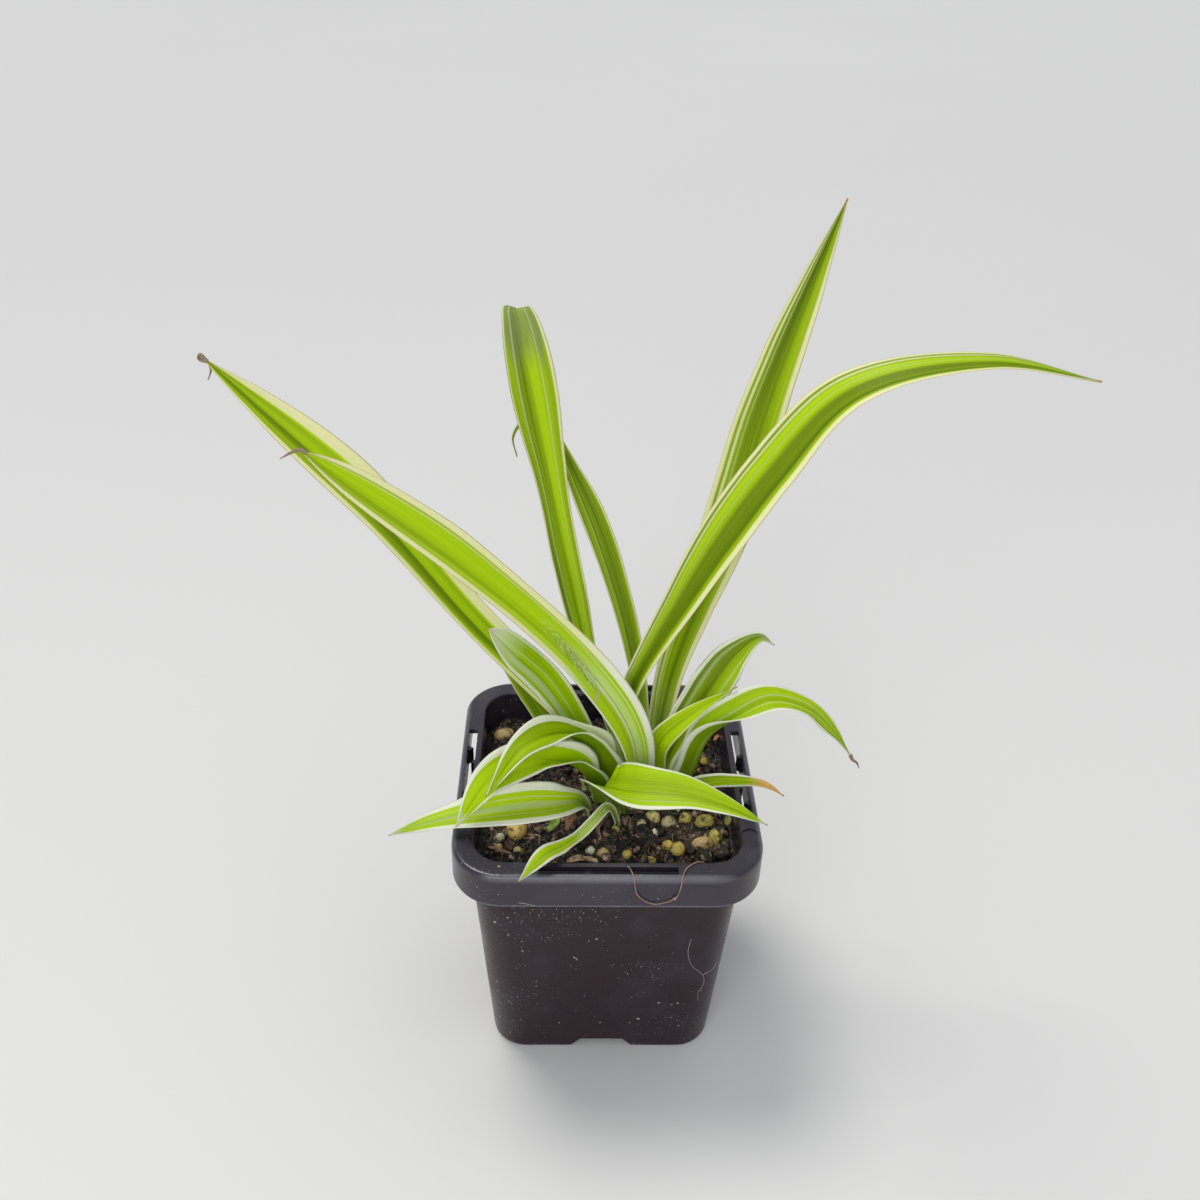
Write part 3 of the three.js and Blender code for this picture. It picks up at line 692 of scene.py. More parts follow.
# the larger feed grains: x, y, length, width, height above the soil, turn in degrees, colour
prills = [
    (-23.9, -13.9, 7.6, 5.4, 2.9, 80, "golden"),
    (-29.4, 27.0, 6.4, 4.6, 1.6, 20, "tan"),
    (12.8, -8.7, 4.6, 4.3, 2.3, 0, "pale"),
    (17.2, -10.4, 4.2, 4.0, 1.9, 30, "grey"),
    (21.8, -9.4, 4.0, 3.4, 2.0, 60, "olive"),
    (27.0, -10.6, 5.6, 4.2, 2.0, 10, "olive"),
    (13.0, -14.6, 2.8, 2.3, 1.8, 80, "white"),
    (25.6, -18.6, 6.4, 4.6, 2.5, 10, "tan"),
    (29.4, -16.4, 4.8, 3.8, 2.5, 100, "olive"),
    (16.4, -19.8, 3.5, 2.9, 2.3, 150, "yellow"),
    (18.8, -21.2, 5.0, 3.8, 2.1, 70, "yellow"),
    (5.4, -22.8, 2.8, 2.5, 1.6, 60, "yellow"),
    (-4.2, -21.4, 2.7, 2.2, 1.5, 0, "white"),
    (-1.0, -22.6, 3.6, 3.0, 1.6, 20, "tan"),
    (25.9, -24.2, 3.4, 2.6, 1.5, 20, "grey"),
    (-28.4, -17.4, 3.0, 2.3, 1.5, 30, "white"),
    (-28.6, -20.6, 2.9, 2.4, 1.4, 60, "tan"),
    (11.4, -24.6, 3.2, 2.0, 1.2, 0, "yellow"),
    (29.0, 14.4, 3.2, 2.8, 1.2, 0, "yellow"),
    (27.0, 4.6, 3.0, 2.6, 1.2, 0, "olive"),
]
prillColours = {
    "golden": (0.78, 0.55, 0.17), "tan": (0.50, 0.36, 0.18), "pale": (0.72, 0.60, 0.28),
    "grey": (0.44, 0.40, 0.24), "olive": (0.42, 0.38, 0.09), "white": (0.80, 0.78, 0.58),
    "yellow": (0.70, 0.54, 0.14),
}
soilBits = [  # route, width, rise of the edges, colour
    ([(-10.5, -26.0, 68.4), (-6.5, -25.4, 68.9), (-2.5, -25.9, 68.4)], 1.9, 0.5, (0.50, 0.33, 0.17)),
    ([(-15.6, -15.1, 68.6), (-14.2, -14.2, 69.6), (-12.6, -12.2, 71.0)], 2.6, 0.9, (0.30, 0.47, 0.05)),
    ([(-10.6, -14.6, 68.2), (-9.9, -13.4, 70.2), (-8.6, -11.8, 71.6)], 2.2, 1.0, (0.30, 0.15, 0.05)),
    ([(-1.6, -18.0, 68.6), (-2.2, -15.8, 70.6), (0.2, -12.6, 72.2), (2.6, -11.6, 72.6)], 1.3, 0.7,
     (0.30, 0.16, 0.12)),
    ([(3.4, -12.8, 69.6), (3.0, -12.0, 71.4), (3.6, -10.8, 73.4)], 1.6, 0.6, (0.26, 0.24, 0.04)),
    ([(24.0, -22.0, 69.0), (25.6, -24.6, 70.4), (27.2, -27.0, 69.0)], 2.0, 0.3, (0.014, 0.012, 0.014)),
    ([(32.2, -12.8, 68.4), (33.0, -12.0, 70.0), (33.2, -11.0, 71.6)], 1.8, 0.6, (0.30, 0.28, 0.06)),
    ([(32.6, 23.0, 68.8), (33.4, 23.6, 69.8), (34.0, 24.4, 69.6)], 1.5, 0.4, (0.62, 0.27, 0.14)),
    ([(-31.0, -20.5, 68.0), (-28.0, -22.5, 68.9), (-25.0, -23.0, 68.2)], 1.2, 0.4, (0.34, 0.20, 0.13)),
]
# heaps on the bed: x, y, width, rise
mounds = [(1.0, -17.0, 3.6, 2.4), (9.5, -11.5, 3.6, 2.0), (-13.0, -20.5, 4.2, 1.4), (22.5, -14.0, 3.0, 1.2)]


def soilHeight(x, y):
    # the bed's long waves, plus clods of 7, 3.2, 1.5 and 0.7 mm whose tops are round and whose
    # clefts are sharp: 1 - |noise|. A few mounds, exp(-r^2), are heaped on it
    wave = np.sin(x * 0.41 + 1.2) * np.cos(y * 0.37) + 0.6 * np.sin(x * 0.9 - y * 0.7)
    clods = sum(depth * (0.6 - np.abs(valueNoise(x, y, cell, seed)))
                for seed, (cell, depth) in enumerate(((7, 1.3), (3.2, 1.2), (1.5, 0.8), (0.7, 0.4)), 1))
    heaped = sum(rise * np.exp(-((x - a)**2 + (y - b)**2) / wide**2) for a, b, wide, rise in mounds)
    return soilShape["top"] + soilShape["bump"] * wave + clods + heaped


def buildSoil():
    # rounded squares that shrink towards the middle are lifted to soilHeight, over a closed foot
    p, look = soilShape, soilLook
    stations = [(p["width"] * s, p["corner"] * s, 0) for s in np.linspace(0.004, 1, p["rings"]) ** 0.8]
    flat = squareRings(stations, p["cornerSteps"], p["sideSteps"])
    flat[..., 2] = soilHeight(flat[..., 0], flat[..., 1])
    foot = flat[-1].copy()
    foot[:, 2] = p["top"] - p["depth"]
    rings = np.concatenate([foot[None] * (0.02, 0.02, 1), foot[None], flat[::-1]])
    finishPiece(meshObject("peat", *skin(rings)), peatMaterial("peat", look["brown"]), "soil", "soil")
    crumbs = buildCrumbs("peat_crumbs", p["crumbs"], p["crumbSize"], 4, 6, p["seed"])
    clods = buildCrumbs("peat_clods", p["clods"], p["clodSize"], 10, 14, p["seed"] + 7)
    crumbLook = peatMaterial("peat_crumbs", look["crumb"])
    loose = [(crumbs, crumbLook), (clods, crumbLook), (buildFibres(), fibreMaterial()),
             (buildPrills(), prillMaterial()), (buildBits(), bitMaterial())]
    for piece, material in loose:
        finishPiece(piece, material, "soil")
    print("soil, crumbs, fibres and feed grains are laid")


def scatterPlaces(count, seed, reach):
    # even random places over the bed, leaving out its corners
    rng = np.random.default_rng(seed)
    x, y = rng.uniform(-reach, reach, (2, count * 2))
    corner = soilShape["roundness"]
    pastX, pastY = np.abs(x) - reach + corner, np.abs(y) - reach + corner
    keep = ~((pastX > 0) & (pastY > 0) & (np.hypot(pastX, pastY) > corner))
    return x[keep][:count], y[keep][:count], rng


def randomTurns(rng, count):
    # rotation matrices from random unit quaternions
    w, x, y, z = unit(rng.normal(size=(count, 4))).T
    rows = [[1 - 2 * (y * y + z * z), 2 * (x * y - z * w), 2 * (x * z + y * w)],
            [2 * (x * y + z * w), 1 - 2 * (x * x + z * z), 2 * (y * z - x * w)],
            [2 * (x * z - y * w), 2 * (y * z + x * w), 1 - 2 * (x * x + y * y)]]
    return np.moveaxis(np.array(rows), -1, 0)


def ballRings(rings, around):
    # unit sphere: polar angle by turn
    polar = np.pi * (np.arange(rings) + 0.5) / rings
    turn = np.linspace(0, 2 * np.pi, around, endpoint=False)
    out = np.sin(polar)[:, None]
    return np.stack([out * np.cos(turn), out * np.sin(turn),
                     -np.cos(polar)[:, None] * np.ones(around)], -1)


def buildCrumbs(name, count, sizes, rings, around, seed):
    # lumpy balls, each dented by its own random or smooth noise, scaled, turned and set in the bed
    low, high = sizes
    x, y, rng = scatterPlaces(count, seed, soilShape["reach"] - high / 3)
    count = len(x)
    ball = loftPoints(ballRings(rings, around))
    if rings < 8:
        dent = 0.28 * rng.uniform(-1, 1, (count, len(ball)))
    else:
        own = rng.uniform(0, 90, (count, 1))
        a, b, c = ball.T
        dent = 0.30 * valueNoise(a * 2 + own, b * 2 + c * 1.3, 1.0, seed) \
            + 0.14 * valueNoise(a * 5 - own, b * 4 + c * 5, 1.0, seed + 1)
    size = low + (high - low) * rng.uniform(0, 1, count) ** 3
    scale = size[:, None] / 2 * rng.uniform(0.6, 1.3, (count, 3))
    lumps = ball * (1 + dent[..., None]) * scale[:, None]
    shape = np.einsum("nij,npj->npi", randomTurns(rng, count), lumps)
    points = shape + np.stack([x, y, soilHeight(x, y) + size * 0.18], -1)[:, None]
    step = (np.arange(count) * len(ball))[:, None, None]
    faces = [(f[None] + step).reshape(-1, f.shape[1]) for f in loftFaces(rings, around)]
    piece = meshObject(name, toFrame(points.reshape(-1, 3)), faces)
    setPointValue(piece, "tone", np.repeat(rng.uniform(0, 1, count), len(ball)))
    return piece


def buildFibres():
    # thin bent threads lying on the bed
    p = soilShape
    x, y, rng = scatterPlaces(p["fibres"], p["seed"] + 1, p["fibreReach"])
    joints, sides, end = 9, 5, p["fibreEnd"]
    parts, tones = [], []
    for startX, startY in zip(x, y):
        bends = rng.uniform(0, 2 * np.pi) + np.cumsum(rng.normal(0, 0.35, joints))
        reach = rng.uniform(0.3, 0.95)
        px = np.clip(startX + np.cumsum(np.cos(bends)) * reach, -end, end)
        py = np.clip(startY + np.cumsum(np.sin(bends)) * reach, -end, end)
        arch = np.abs(rng.normal(0, 0.4)) * np.sin(np.linspace(0, np.pi, joints))
        path = np.stack([px, py, soilHeight(px, py) + 0.25 + arch], -1)
        parts.append(skin(tubeRings(path, np.linspace(1, 0.5, joints) * rng.uniform(0.07, 0.2), sides)))
        tones.append(np.full(len(parts[-1][0]), rng.uniform(0, 1)))
    piece = meshObject("peat_fibres", *joined(parts))
    setPointValue(piece, "tone", np.concatenate(tones))
    return piece


def tintedObject(name, parts, colours):
    # the parts as one piece, each part's points in its own colour
    piece = meshObject(name, *joined(parts))
    setTint(piece, np.repeat(colours, [len(points) for points, _ in parts], 0))
    return piece


def buildPrills():
    # rounded grains: an ellipsoid whose radius swells and dents with noise over its surface
    rng = np.random.default_rng(5)
    p, c = soilShape, crownShape
    x, y, _ = scatterPlaces(p["grains"], 23, p["fibreReach"])
    names = ["olive", "tan", "yellow", "grey", "pale"]
    grains = list(prills)
    for startX, startY in zip(x, y):
        size = rng.uniform(1.2, 2.9)
        clear = all(math.hypot(g[0] - startX, g[1] - startY) > 0.6 * (g[2] + size) for g in grains)
        if clear and math.hypot((startX - c["x"]) / 15, (startY - c["y"]) / 12) > 1.1:
            grains.append((startX, startY, size, size * rng.uniform(0.75, 0.95), size * 0.5,
                           rng.uniform(0, 180), names[rng.integers(len(names))]))
    ball = ballRings(p["grainRings"], p["grainSides"])
    parts = []
    for k, (x, y, length, width, height, turn, _) in enumerate(grains):
        dent = 1 + 0.07 * valueNoise(ball[..., 0] * 3 + k, ball[..., 1] * 3 + ball[..., 2] * 2, 1.0, 60 + k)
        sizes = (length / 2, width / 2, max(height, width * 0.42))
        a, b, up = np.moveaxis(ball * dent[..., None] * sizes, -1, 0)
        cos, sin = math.cos(math.radians(turn)), math.sin(math.radians(turn))
        level = max(soilHeight(np.array([x]), np.array([y]))[0], 66.8) + height * 0.2
        parts.append(skin(np.stack([a * cos - b * sin + x, a * sin + b * cos + y, up + level], -1)))
    return tintedObject("feed_grains", parts, [prillColours[grain[-1]] for grain in grains])


def buildBits():
    # dead sheath, bark and a sprout: strips along a route whose edges rise as across^2, narrowed
    # towards both ends as the square root of a sine
    parts = []
    v, rows = np.linspace(-1, 1, 9), 24
    for k, (route, width, rise, _) in enumerate(soilBits):
        path = smoothPath(route, rows)
        side = unit(np.cross(unit(np.gradient(path, axis=0)), (0, 0, 1)))
        half = width / 2 * np.sqrt(np.sin(np.linspace(0.15, np.pi - 0.05, rows)))
        wobble = 1 + 0.25 * valueNoise(np.linspace(0, 5, rows), k * 3.7 + np.zeros(rows), 1.0, 90 + k)
        sheet = path[:, None] + side[:, None] * (v * (half * wobble)[:, None])[..., None]
        sheet[..., 2] += v**2 * rise * wobble[:, None]
        parts.append(skin(closedShell(sheet, np.full(sheet.shape[:2], 0.3))))
    return tintedObject("soil_bits", parts, [bit[-1] for bit in soilBits])


def bitMaterial():
    # each bit's own colour, streaked and stained by the wet peat
    material, shader, place = newMaterial("soil_bit")
    stain = place.noise(*bitLook["clouds"])
    colour = blend(stain.stretch(*bitLook["share"]), place.attribute("tint", "Color"), bitLook["stain"])
    feed(shader, {"Base Color": colour, "Roughness": bitLook["roughness"]})
    bump(shader, stain, bitLook["bump"])
    return material


def peatMaterial(name, brown):
    # near-black damp peat with brown clods, lighter crumbs by their own tone, and wet glints; the
    # near-black share also paints the shade between clods, and brown and crumb are paler than peat to paint
    # the light on them
    look = soilLook
    material, shader, place = newMaterial(name)
    clod = place.noise(*look["clods"]).stretch(*look["clodShare"])
    patch = place.noise(*look["patches"]).stretch(*look["patchShare"])
    patch = patch + place.attribute("tone").stretch(*look["toneShare"])
    feed(shader, {
        "Base Color": blend((clod * patch).clamped(), look["dark"], brown),
        "Roughness": place.noise(*look["wet"]).stretch(*look["roughness"]),
        "Specular IOR Level": look["shine"],
    })
    bump(shader, place.noise(*look["fine"]), look["bump"])
    return material


def fibreMaterial():
    # each fibre has one brown, from dark to straw by its own tone
    look = soilLook
    material, shader, place = newMaterial("peat_fibre")
    colour = place.attribute("tone").ramp(look["fibre"])
    feed(shader, {"Base Color": colour, "Roughness": look["fibreRoughness"]})
    bump(shader, place.noise(*look["fibreGrain"]), look["fibreBump"])
    return material


def prillMaterial():
    # each grain's own tint, mottled, darker where peat sticks, with a waxy gloss
    look = grainLook
    material, shader, place = newMaterial("feed_grain")
    mottle = place.noise(*look["mottle"])
    tint = place.attribute("tint", "Color")
    light = blend(mottle.stretch(*look["lightShare"]), tint, look["light"], "SOFT_LIGHT")
    dirt = place.noise(*look["dirt"]).stretch(*look["dirtShare"])
    pitted = dirt.most(place.cells(look["pits"])[0].stretch(*look["pitShare"]))
    feed(shader, {
        "Base Color": blend(pitted, light, look["peat"]),
        "Roughness": mottle.stretch(*look["roughness"]),
        "Subsurface Weight": look["wax"], "Subsurface Scale": look["waxDepth"],
    })
    bump(shader, place.noise(*look["fine"]) - pitted, look["bump"])
    return material


leafShape = {
    "rows": 150, "columns": 24, "thick": 0.5, "edgeThick": 0.2, "ruffleWaves": 3,
    "groove": 0.28, "grooveWidth": 0.10,  # the midrib's channel
}
leafLook = {
    "deep": (0.135, 0.225, 0.001), "bright": (0.58, 0.84, 0.002),
    "cream": (0.96, 0.94, 0.54), "white": (0.97, 0.98, 0.82), "root": (0.60, 0.74, 0.24),
    # the two dark greens after dry are painted shade: the first on the blades' undersides, the second on a
    # tip that bends back
    "dry": (0.98, 0.60, 0.17), "underShade": (0.11, 0.21, 0.004), "tipShade": (0.27, 0.33, 0.13),
    # the first colour on this line is a painted glint for the blister's raised speckles, over the green
    # ground of dimple
    "blisterGlint": (0.85, 0.95, 0.42), "dimple": (0.32, 0.52, 0.045), "crease": (0.72, 0.60, 0.30),
    # shares across and along for each pattern's lines, its own shift, and the noise's detail
    "wander": (2.5, 5.0, 3.0, 1.0), "fine": (75.0, 3.0, 9.0, 2.0), "broad": (4.2, 0.9, 1.0, 0.0),
    "narrow": (15.0, 1.6, 4.0, 0.0), "ribs": (42.0, 0.8, 5.0, 1.0), "speckle": (26.0, 110.0, 6.0, 3.0),
    "wanderShare": 0.05, "marginShare": 0.012, "narrowSwing": 0.3, "fineSwing": 0.07, "streakRange": 0.2,
    "heartAt": ((0.22, 0), (0.45, 1), (0.58, 1), (0.8, 0)), "cells": (1300, 2), "cellHeight": 0.22,
    "ribHeight": 1.5, "bump": 0.00016, "rootEnds": (0.2, 0.02, 0, 0.6), "underShadeShare": 0.6,
    "dryWander": 0.04, "dryReach": 0.12, "tipShadeWander": 0.10, "tipShadeShare": 0.7, "whiteShare": 0.9,
    "roughness": (0.30, 0.42), "dryRoughness": 0.3, "shine": 0.22, "glow": 0.3,
}
blister = {
    "middle": 0.124, "lean": -0.8, "wide": (0.20, 0.08), "ends": (0.02, 0.04, -0.05), "share": 0.7,
    "speckle": (0.44, 0.58), "height": 1.2, "creaseWide": (0.006, 0.002), "creaseEnd": (0.52, 0.44, 0, 0.7),
}
# what a leaf has where its own entry says nothing: folds are the degrees that each half lifts, and
# tipPower how late the tip closes
plainLeaf = {
    "folds": (45, 22, 14, 12), "tipPower": 5, "ruffle": 0, "waver": 0.35,
    "stripes": [], "contrast": 0.2, "heart": 0, "pale": "white",
}
# route, widths and faces lay out a blade as its solid does. edges are the pale margins' shares of
# the width, stripes are (place across, width, strength), base has its own near the root, up to
# baseEnds. tone runs from deep to bright green, contrast is how far its bands swing and heart how
# dark the band along the midrib is. patch (a blister speckled with painted glints), the painted
# shade on a tip that bends back, whiteTip and dryFrom are shares of the length
leaves = {
    "leaf_far_left": {
        "route": [(4, 11, 64), (-14, 15, 89), (-37, 19, 115), (-64, 24, 149), (-101, 30, 183)],
        "widths": (6, 10, 11, 15, 13), "tipPower": 8, "faces": [(-60, 20), (-60, 45), (-50, 50)],
        "edges": (0.10, 0.24),
        "tone": 0.74, "heart": 0.2, "contrast": 0.42, "pale": "cream",
    },
    "leaf_left": {
        "route": [(9, -3, 64), (6.5, -3, 92), (-7, -2.5, 115), (-35.5, -4.5, 146.3), (-71, -6, 176)],
        "widths": (7, 12, 10.5, 12, 12), "tipPower": 12, "faces": [(-70, 20), (-60, 40), (-60, 55)],
        "edges": (0.12, 0.15), "stripes": [(0.80, 0.02, 0.6), (0.2, 0.014, 0.25)],
        "tone": 0.88, "heart": 0.15, "contrast": 0.3, "pale": "cream",
        "base": {"edges": (0.03, 0.16),
                 "stripes": [(0.44, 0.07, 1.0), (0.60, 0.20, 0.32), (0.76, 0.02, 0.6)]},
        "baseEnds": (0.44, 0.33), "patch": (0.32, 0.47),
    },
    "leaf_upright": {
        "route": [(8, 13, 64), (-4, 24, 95), (-11, 33, 122), (-17.5, 42, 154),
                  (-23.5, 49, 184), (-25, 53, 188.5), (-24.4, 58, 185.5)],
        "widths": (6, 4.5, 8, 8.5, 12.8, 11.2), "tipPower": 24,
        "faces": [(-70, 10), (-80, 10), (-80, 10), (-80, 10), (-80, 12), (-82, 22), (-88, 84)],
        # from 0.84 to 0.90 of its length a painted shade dulls the tip, where it bends back
        "edges": (0.04, 0.06), "stripes": [(0.2, 0.03, 0.45), (0.74, 0.03, 0.35)], "tipShade": (0.84, 0.90),
        "tone": 0.6, "heart": -0.25, "contrast": 0.4, "pale": "cream",
    },
    "leaf_back_arch": {
        "route": [(12, 13, 64), (8, 30, 93), (-1, 42, 122), (-10, 52, 141), (-17, 58, 152),
                  (-24, 62, 152), (-27, 63, 147), (-26, 63, 141)],
        "widths": (5, 6, 9, 11, 5, 3),
        "faces": [(-60, 20), (-50, 30), (-40, 40), (-70, 70), (-110, 30)],
        "edges": (0.07, 0.08), "stripes": [(0.35, 0.03, 0.5)],
        "tone": 0.64, "heart": 0.3, "contrast": 0.3, "pale": "cream",
    },
    "leaf_tall": {
        "route": [(14, 10, 64), (18, 21, 93), (31, 26, 138), (39, 29, 175), (53, 32, 224)],
        "widths": (7, 10, 15, 15, 14), "faces": [(-100, 20), (-120, 20), (-120, 20)],
        "edges": (0.09, 0.14), "stripes": [(0.17, 0.05, 0.95), (0.27, 0.02, 0.4), (0.84, 0.02, 0.4)],
        "tone": 0.66, "heart": 0.3, "contrast": 0.42, "pale": "cream",
    },
    "leaf_right_arch": {
        "route": [(11, 4, 64), (5, 5, 93), (19, 6, 130), (38, 7, 165), (55, 8, 186), (85, 7, 194),
                  (111, 5, 191)],
        "widths": (6, 7, 15, 16, 11),
        "faces": [(-110, 30), (-110, 45), (-100, 75), (-90, 80)],
        "edges": (0.06, 0.13), "stripes": [(0.12, 0.03, 0.8), (0.27, 0.012, 0.3)],
        "tone": 0.64, "heart": 0.2, "contrast": 0.45, "pale": "cream",
    },
    "leaf_short_left": {
        "route": [(1, 5, 64), (-7.5, 6.5, 85.5), (-16, 1.5, 105.5), (-24.3, -5.5, 120.5), (-30, -9, 130)],
        "widths": (5.5, 7.5, 9.5, 10, 10), "tipPower": 16, "faces": [(-70, 30), (-60, 45)],
        "edges": (0.10, 0.09), "stripes": [(0.30, 0.24, 0.52), (0.62, 0.05, 0.3)], "whiteTip": 0.80,
        "waver": 0.5, "tone": 1.0, "contrast": 0.15,
    },
    "leaf_shade_left": {
        "route": [(-1, 9, 64), (-15, 21, 77), (-25, 26, 90), (-34, 30, 100)],
        "widths": (5, 9, 9, 6), "faces": [(-60, 20), (-60, 50)],
        # its low tone is painted shade, for a blade that stands in the shade under the leaves in front of
        # it
        "edges": (0.035, 0.035), "tone": 0.4, "pale": "cream",
    },
    "leaf_curl_outer": {
        "route": [(-2, -3.5, 64), (-4, -4.8, 77), (-9, -6.8, 85), (-15, -9.5, 89), (-20, -11.5, 90.5),
                  (-30.3, -18.2, 89.7), (-38.5, -28, 82.5)],
        "widths": (5, 8, 11.5, 12, 12.5, 12.5, 10), "folds": (60, 72, 72, 45, 20, 14, 12),
        "faces": [(10, 25), (5, 35), (0, 45), (-50, 60), (-75, 62), (-80, 60), (-80, 60)], "ruffle": 1.1,
        "edges": (0.07, 0.13), "whiteTip": 0.93,
        "waver": 0.8, "tone": 0.8,
    },
    "leaf_curl_inner": {
        "route": [(2, 0.5, 64), (-0.7, 0, 77), (-6, -0.8, 86.5), (-13, -5, 94.3), (-22, -13, 96.5),
                  (-31, -24, 89.1)],
        "widths": (6, 10, 13.5, 11.5, 10.5, 9, 6), "folds": (60, 74, 80, 60, 28, 14, 12),
        "faces": [(10, 25), (5, 35), (0, 42), (-10, 55), (-75, 62), (-80, 60), (-80, 60)], "ruffle": 1.1,
        "edges": (0.08, 0.16),
        "waver": 1.0, "tone": 0.75,
    },
    "leaf_low_left": {
        "route": [(-4.5, -5.5, 64), (-7.5, -11, 75.5), (-13, -15, 78.5), (-26, -19, 80.5), (-45, -23, 79.5),
                  (-56, -26, 77.5)],
        "widths": (3.5, 7, 12.5, 12, 9.5, 8), "faces": [(-60, 60), (-70, 70), (-70, 70)],
        "edges": (0.15, 0.17), "stripes": [(0.30, 0.012, 0.3), (0.50, 0.20, 0.28), (0.70, 0.016, 0.4)],
        "whiteTip": 0.94, "waver": 1.1, "tone": 0.9, "heart": 0.1,
    },
    "leaf_front_right": {
        "route": [(5.5, -8, 64), (4, -9.7, 74), (-0.8, -10.5, 80.3), (0.8, -13.2, 82.6), (6, -15.6, 84.2),
                  (20, -19.5, 86.3), (31, -23.5, 85.5), (40.5, -27, 82.8)],
        "widths": (3.5, 4.5, 14, 14.5, 12.5, 10, 8, 6), "folds": (40, 42, 38, 26, 18, 14, 12, 12),
        "faces": [(125, 0), (125, 5), (120, 50), (-70, 70), (-80, 60), (-80, 60), (-80, 62), (-80, 65)],
        "edges": (0.035, 0.09), "stripes": [(0.78, 0.012, 0.3)], "whiteTip": 0.95,
        "tone": 0.75,
    },
    "leaf_front_small": {
        "route": [(2.5, -11.6, 64), (2.2, -13.2, 72), (0, -15, 77.2), (-3.6, -19.3, 76.4),
                  (-7.4, -24, 75.8), (-12, -30.6, 78.2), (-16, -36, 80.8), (-22, -45, 81)],
        "widths": (3, 2.8, 3, 3.2, 3.4, 5.6, 7.4, 6.6), "faces": [(-60, 60), (-60, 70)],
        "edges": (0.15, 0.15), "stripes": [(0.4, 0.02, 0.3)],
        "tone": 0.75,
        "base": {"edges": (0.12, 0.12),
                 "stripes": [(place, 0.03, 0.7) for place in (0.28, 0.43, 0.58, 0.73)]},
        "baseEnds": (0.54, 0.48),
    },
    "leaf_right_small": {
        "route": [(15, 1, 64), (14, 2, 84), (23, 4, 94), (35, 7, 101)],
        "widths": (4, 7, 6, 2), "faces": [(-100, 40), (-100, 60)],
        "edges": (0.06, 0.06), "tone": 0.92, "contrast": 0.12, "pale": "cream",
    },
    "leaf_right_broad": {
        "route": [(15, 7, 64), (19, 10, 77), (26, 14, 89), (35, 18, 103), (42, 20, 108), (46.5, 21, 105)],
        "widths": (6, 10, 12.5, 13, 6), "faces": [(-110, 30), (-110, 40), (-90, 70)],
        "edges": (0.11, 0.08), "stripes": [(0.24, 0.08, 0.3), (0.78, 0.05, 0.25)],
        "whiteTip": 0.90, "waver": 0.6, "tone": 0.55, "contrast": 0.3,
    },
    "leaf_right_wavy": {
        "route": [(20, 0, 64), (24, 1, 76), (28, 3, 87), (35, 4, 93), (44, 5, 98), (54, 5, 95.5),
                  (63, 5, 86.5), (68.5, 4, 78.8)],
        "widths": (8, 13, 12, 9, 7, 4), "folds": (60, 66, 50, 22, 14, 12),
        "faces": [(170, 30), (160, 40), (-130, 60), (-100, 65), (-100, 70)], "ruffle": 1.1,
        "edges": (0.07, 0.11), "stripes": [(0.32, 0.05, 0.28), (0.62, 0.04, 0.25)],
        "waver": 0.9, "tone": 0.62,
    },
    "leaf_right_low": {
        "route": [(18, -4, 64), (24, -8, 79), (34, -11, 83.5), (42, -12, 83), (47, -13, 80)],
        "widths": (3, 4.5, 4, 3), "faces": [(-100, 50), (-100, 60)],
        "edges": (0.15, 0.11), "tone": 0.6,
        "dryFrom": 0.74,
    },
}


def faceVectors(faces):
    # compass bearing and height in degrees to unit vectors
    bearing, height = np.radians(np.asarray(faces, float)).T
    level = np.cos(height)
    return np.stack([level * np.cos(bearing), level * np.sin(bearing), np.sin(height)], -1)


def leafSheet(leaf, seed):
    # across runs v from -1 to 1. The half width is half of widths, closed by 1 - s^tipPower. Each
    # side lies at v times half times cos(fold) and lifts by |v|^1.4 times half times sin(fold),
    # with ruffles along the margins, a small uneven waver, and a groove down the midrib
    p = leafShape
    s = np.linspace(0, 1, p["rows"])
    v = np.linspace(-1, 1, p["columns"] + 1)
    far, sign, row = np.abs(v), np.sign(v)[None], s[:, None]
    spine = smoothPath(leaf["route"], p["rows"])
    forward = unit(np.gradient(spine, axis=0))
    face = along(faceVectors(leaf["faces"]), s)
    normal = unit(face - (face * forward).sum(-1, keepdims=True) * forward)
    side = np.cross(forward, normal)
    half = (0.5 * along(leaf["widths"], s) * np.maximum(1 - s ** leaf["tipPower"], 0.03))[:, None]
    fold = np.radians(along(leaf["folds"], s))[:, None]
    ruffle = leaf["ruffle"] * v**2 * np.sqrt(np.sin(np.pi * row)) \
        * np.sin(2 * np.pi * p["ruffleWaves"] * row + 1.3 * sign)
    waver = leaf["waver"] * far**3 * np.sqrt(half / 7) \
        * valueNoise(row * 9 + 40, 3 * sign + seed, 1.0, seed)
    groove = p["groove"] * np.exp(-(v / p["grooveWidth"]) ** 2) * np.minimum(half / 3, 1)
    uneven = 1 + 0.025 * far * valueNoise(row * 14, 2 * sign + 5, 1.0, seed + 50)
    lateral = v * half * np.cos(fold) * uneven
    lift = far**1.4 * half * np.sin(fold) + ruffle + waver - groove
    return spine[:, None] + side[:, None] * lateral[..., None] + normal[:, None] * lift[..., None], s, v


def closedShell(sheet, thick):
    # both faces of a sheet as one loop of points for each row: over the top and back underneath,
    # meeting along the margins
    outward = unit(np.cross(np.gradient(sheet, axis=1), np.gradient(sheet, axis=0)))
    offset = outward * (thick / 2)[..., None]
    offset[:, [0, -1]] = 0
    return np.concatenate([sheet + offset, (sheet - offset)[:, -2:0:-1]], 1)


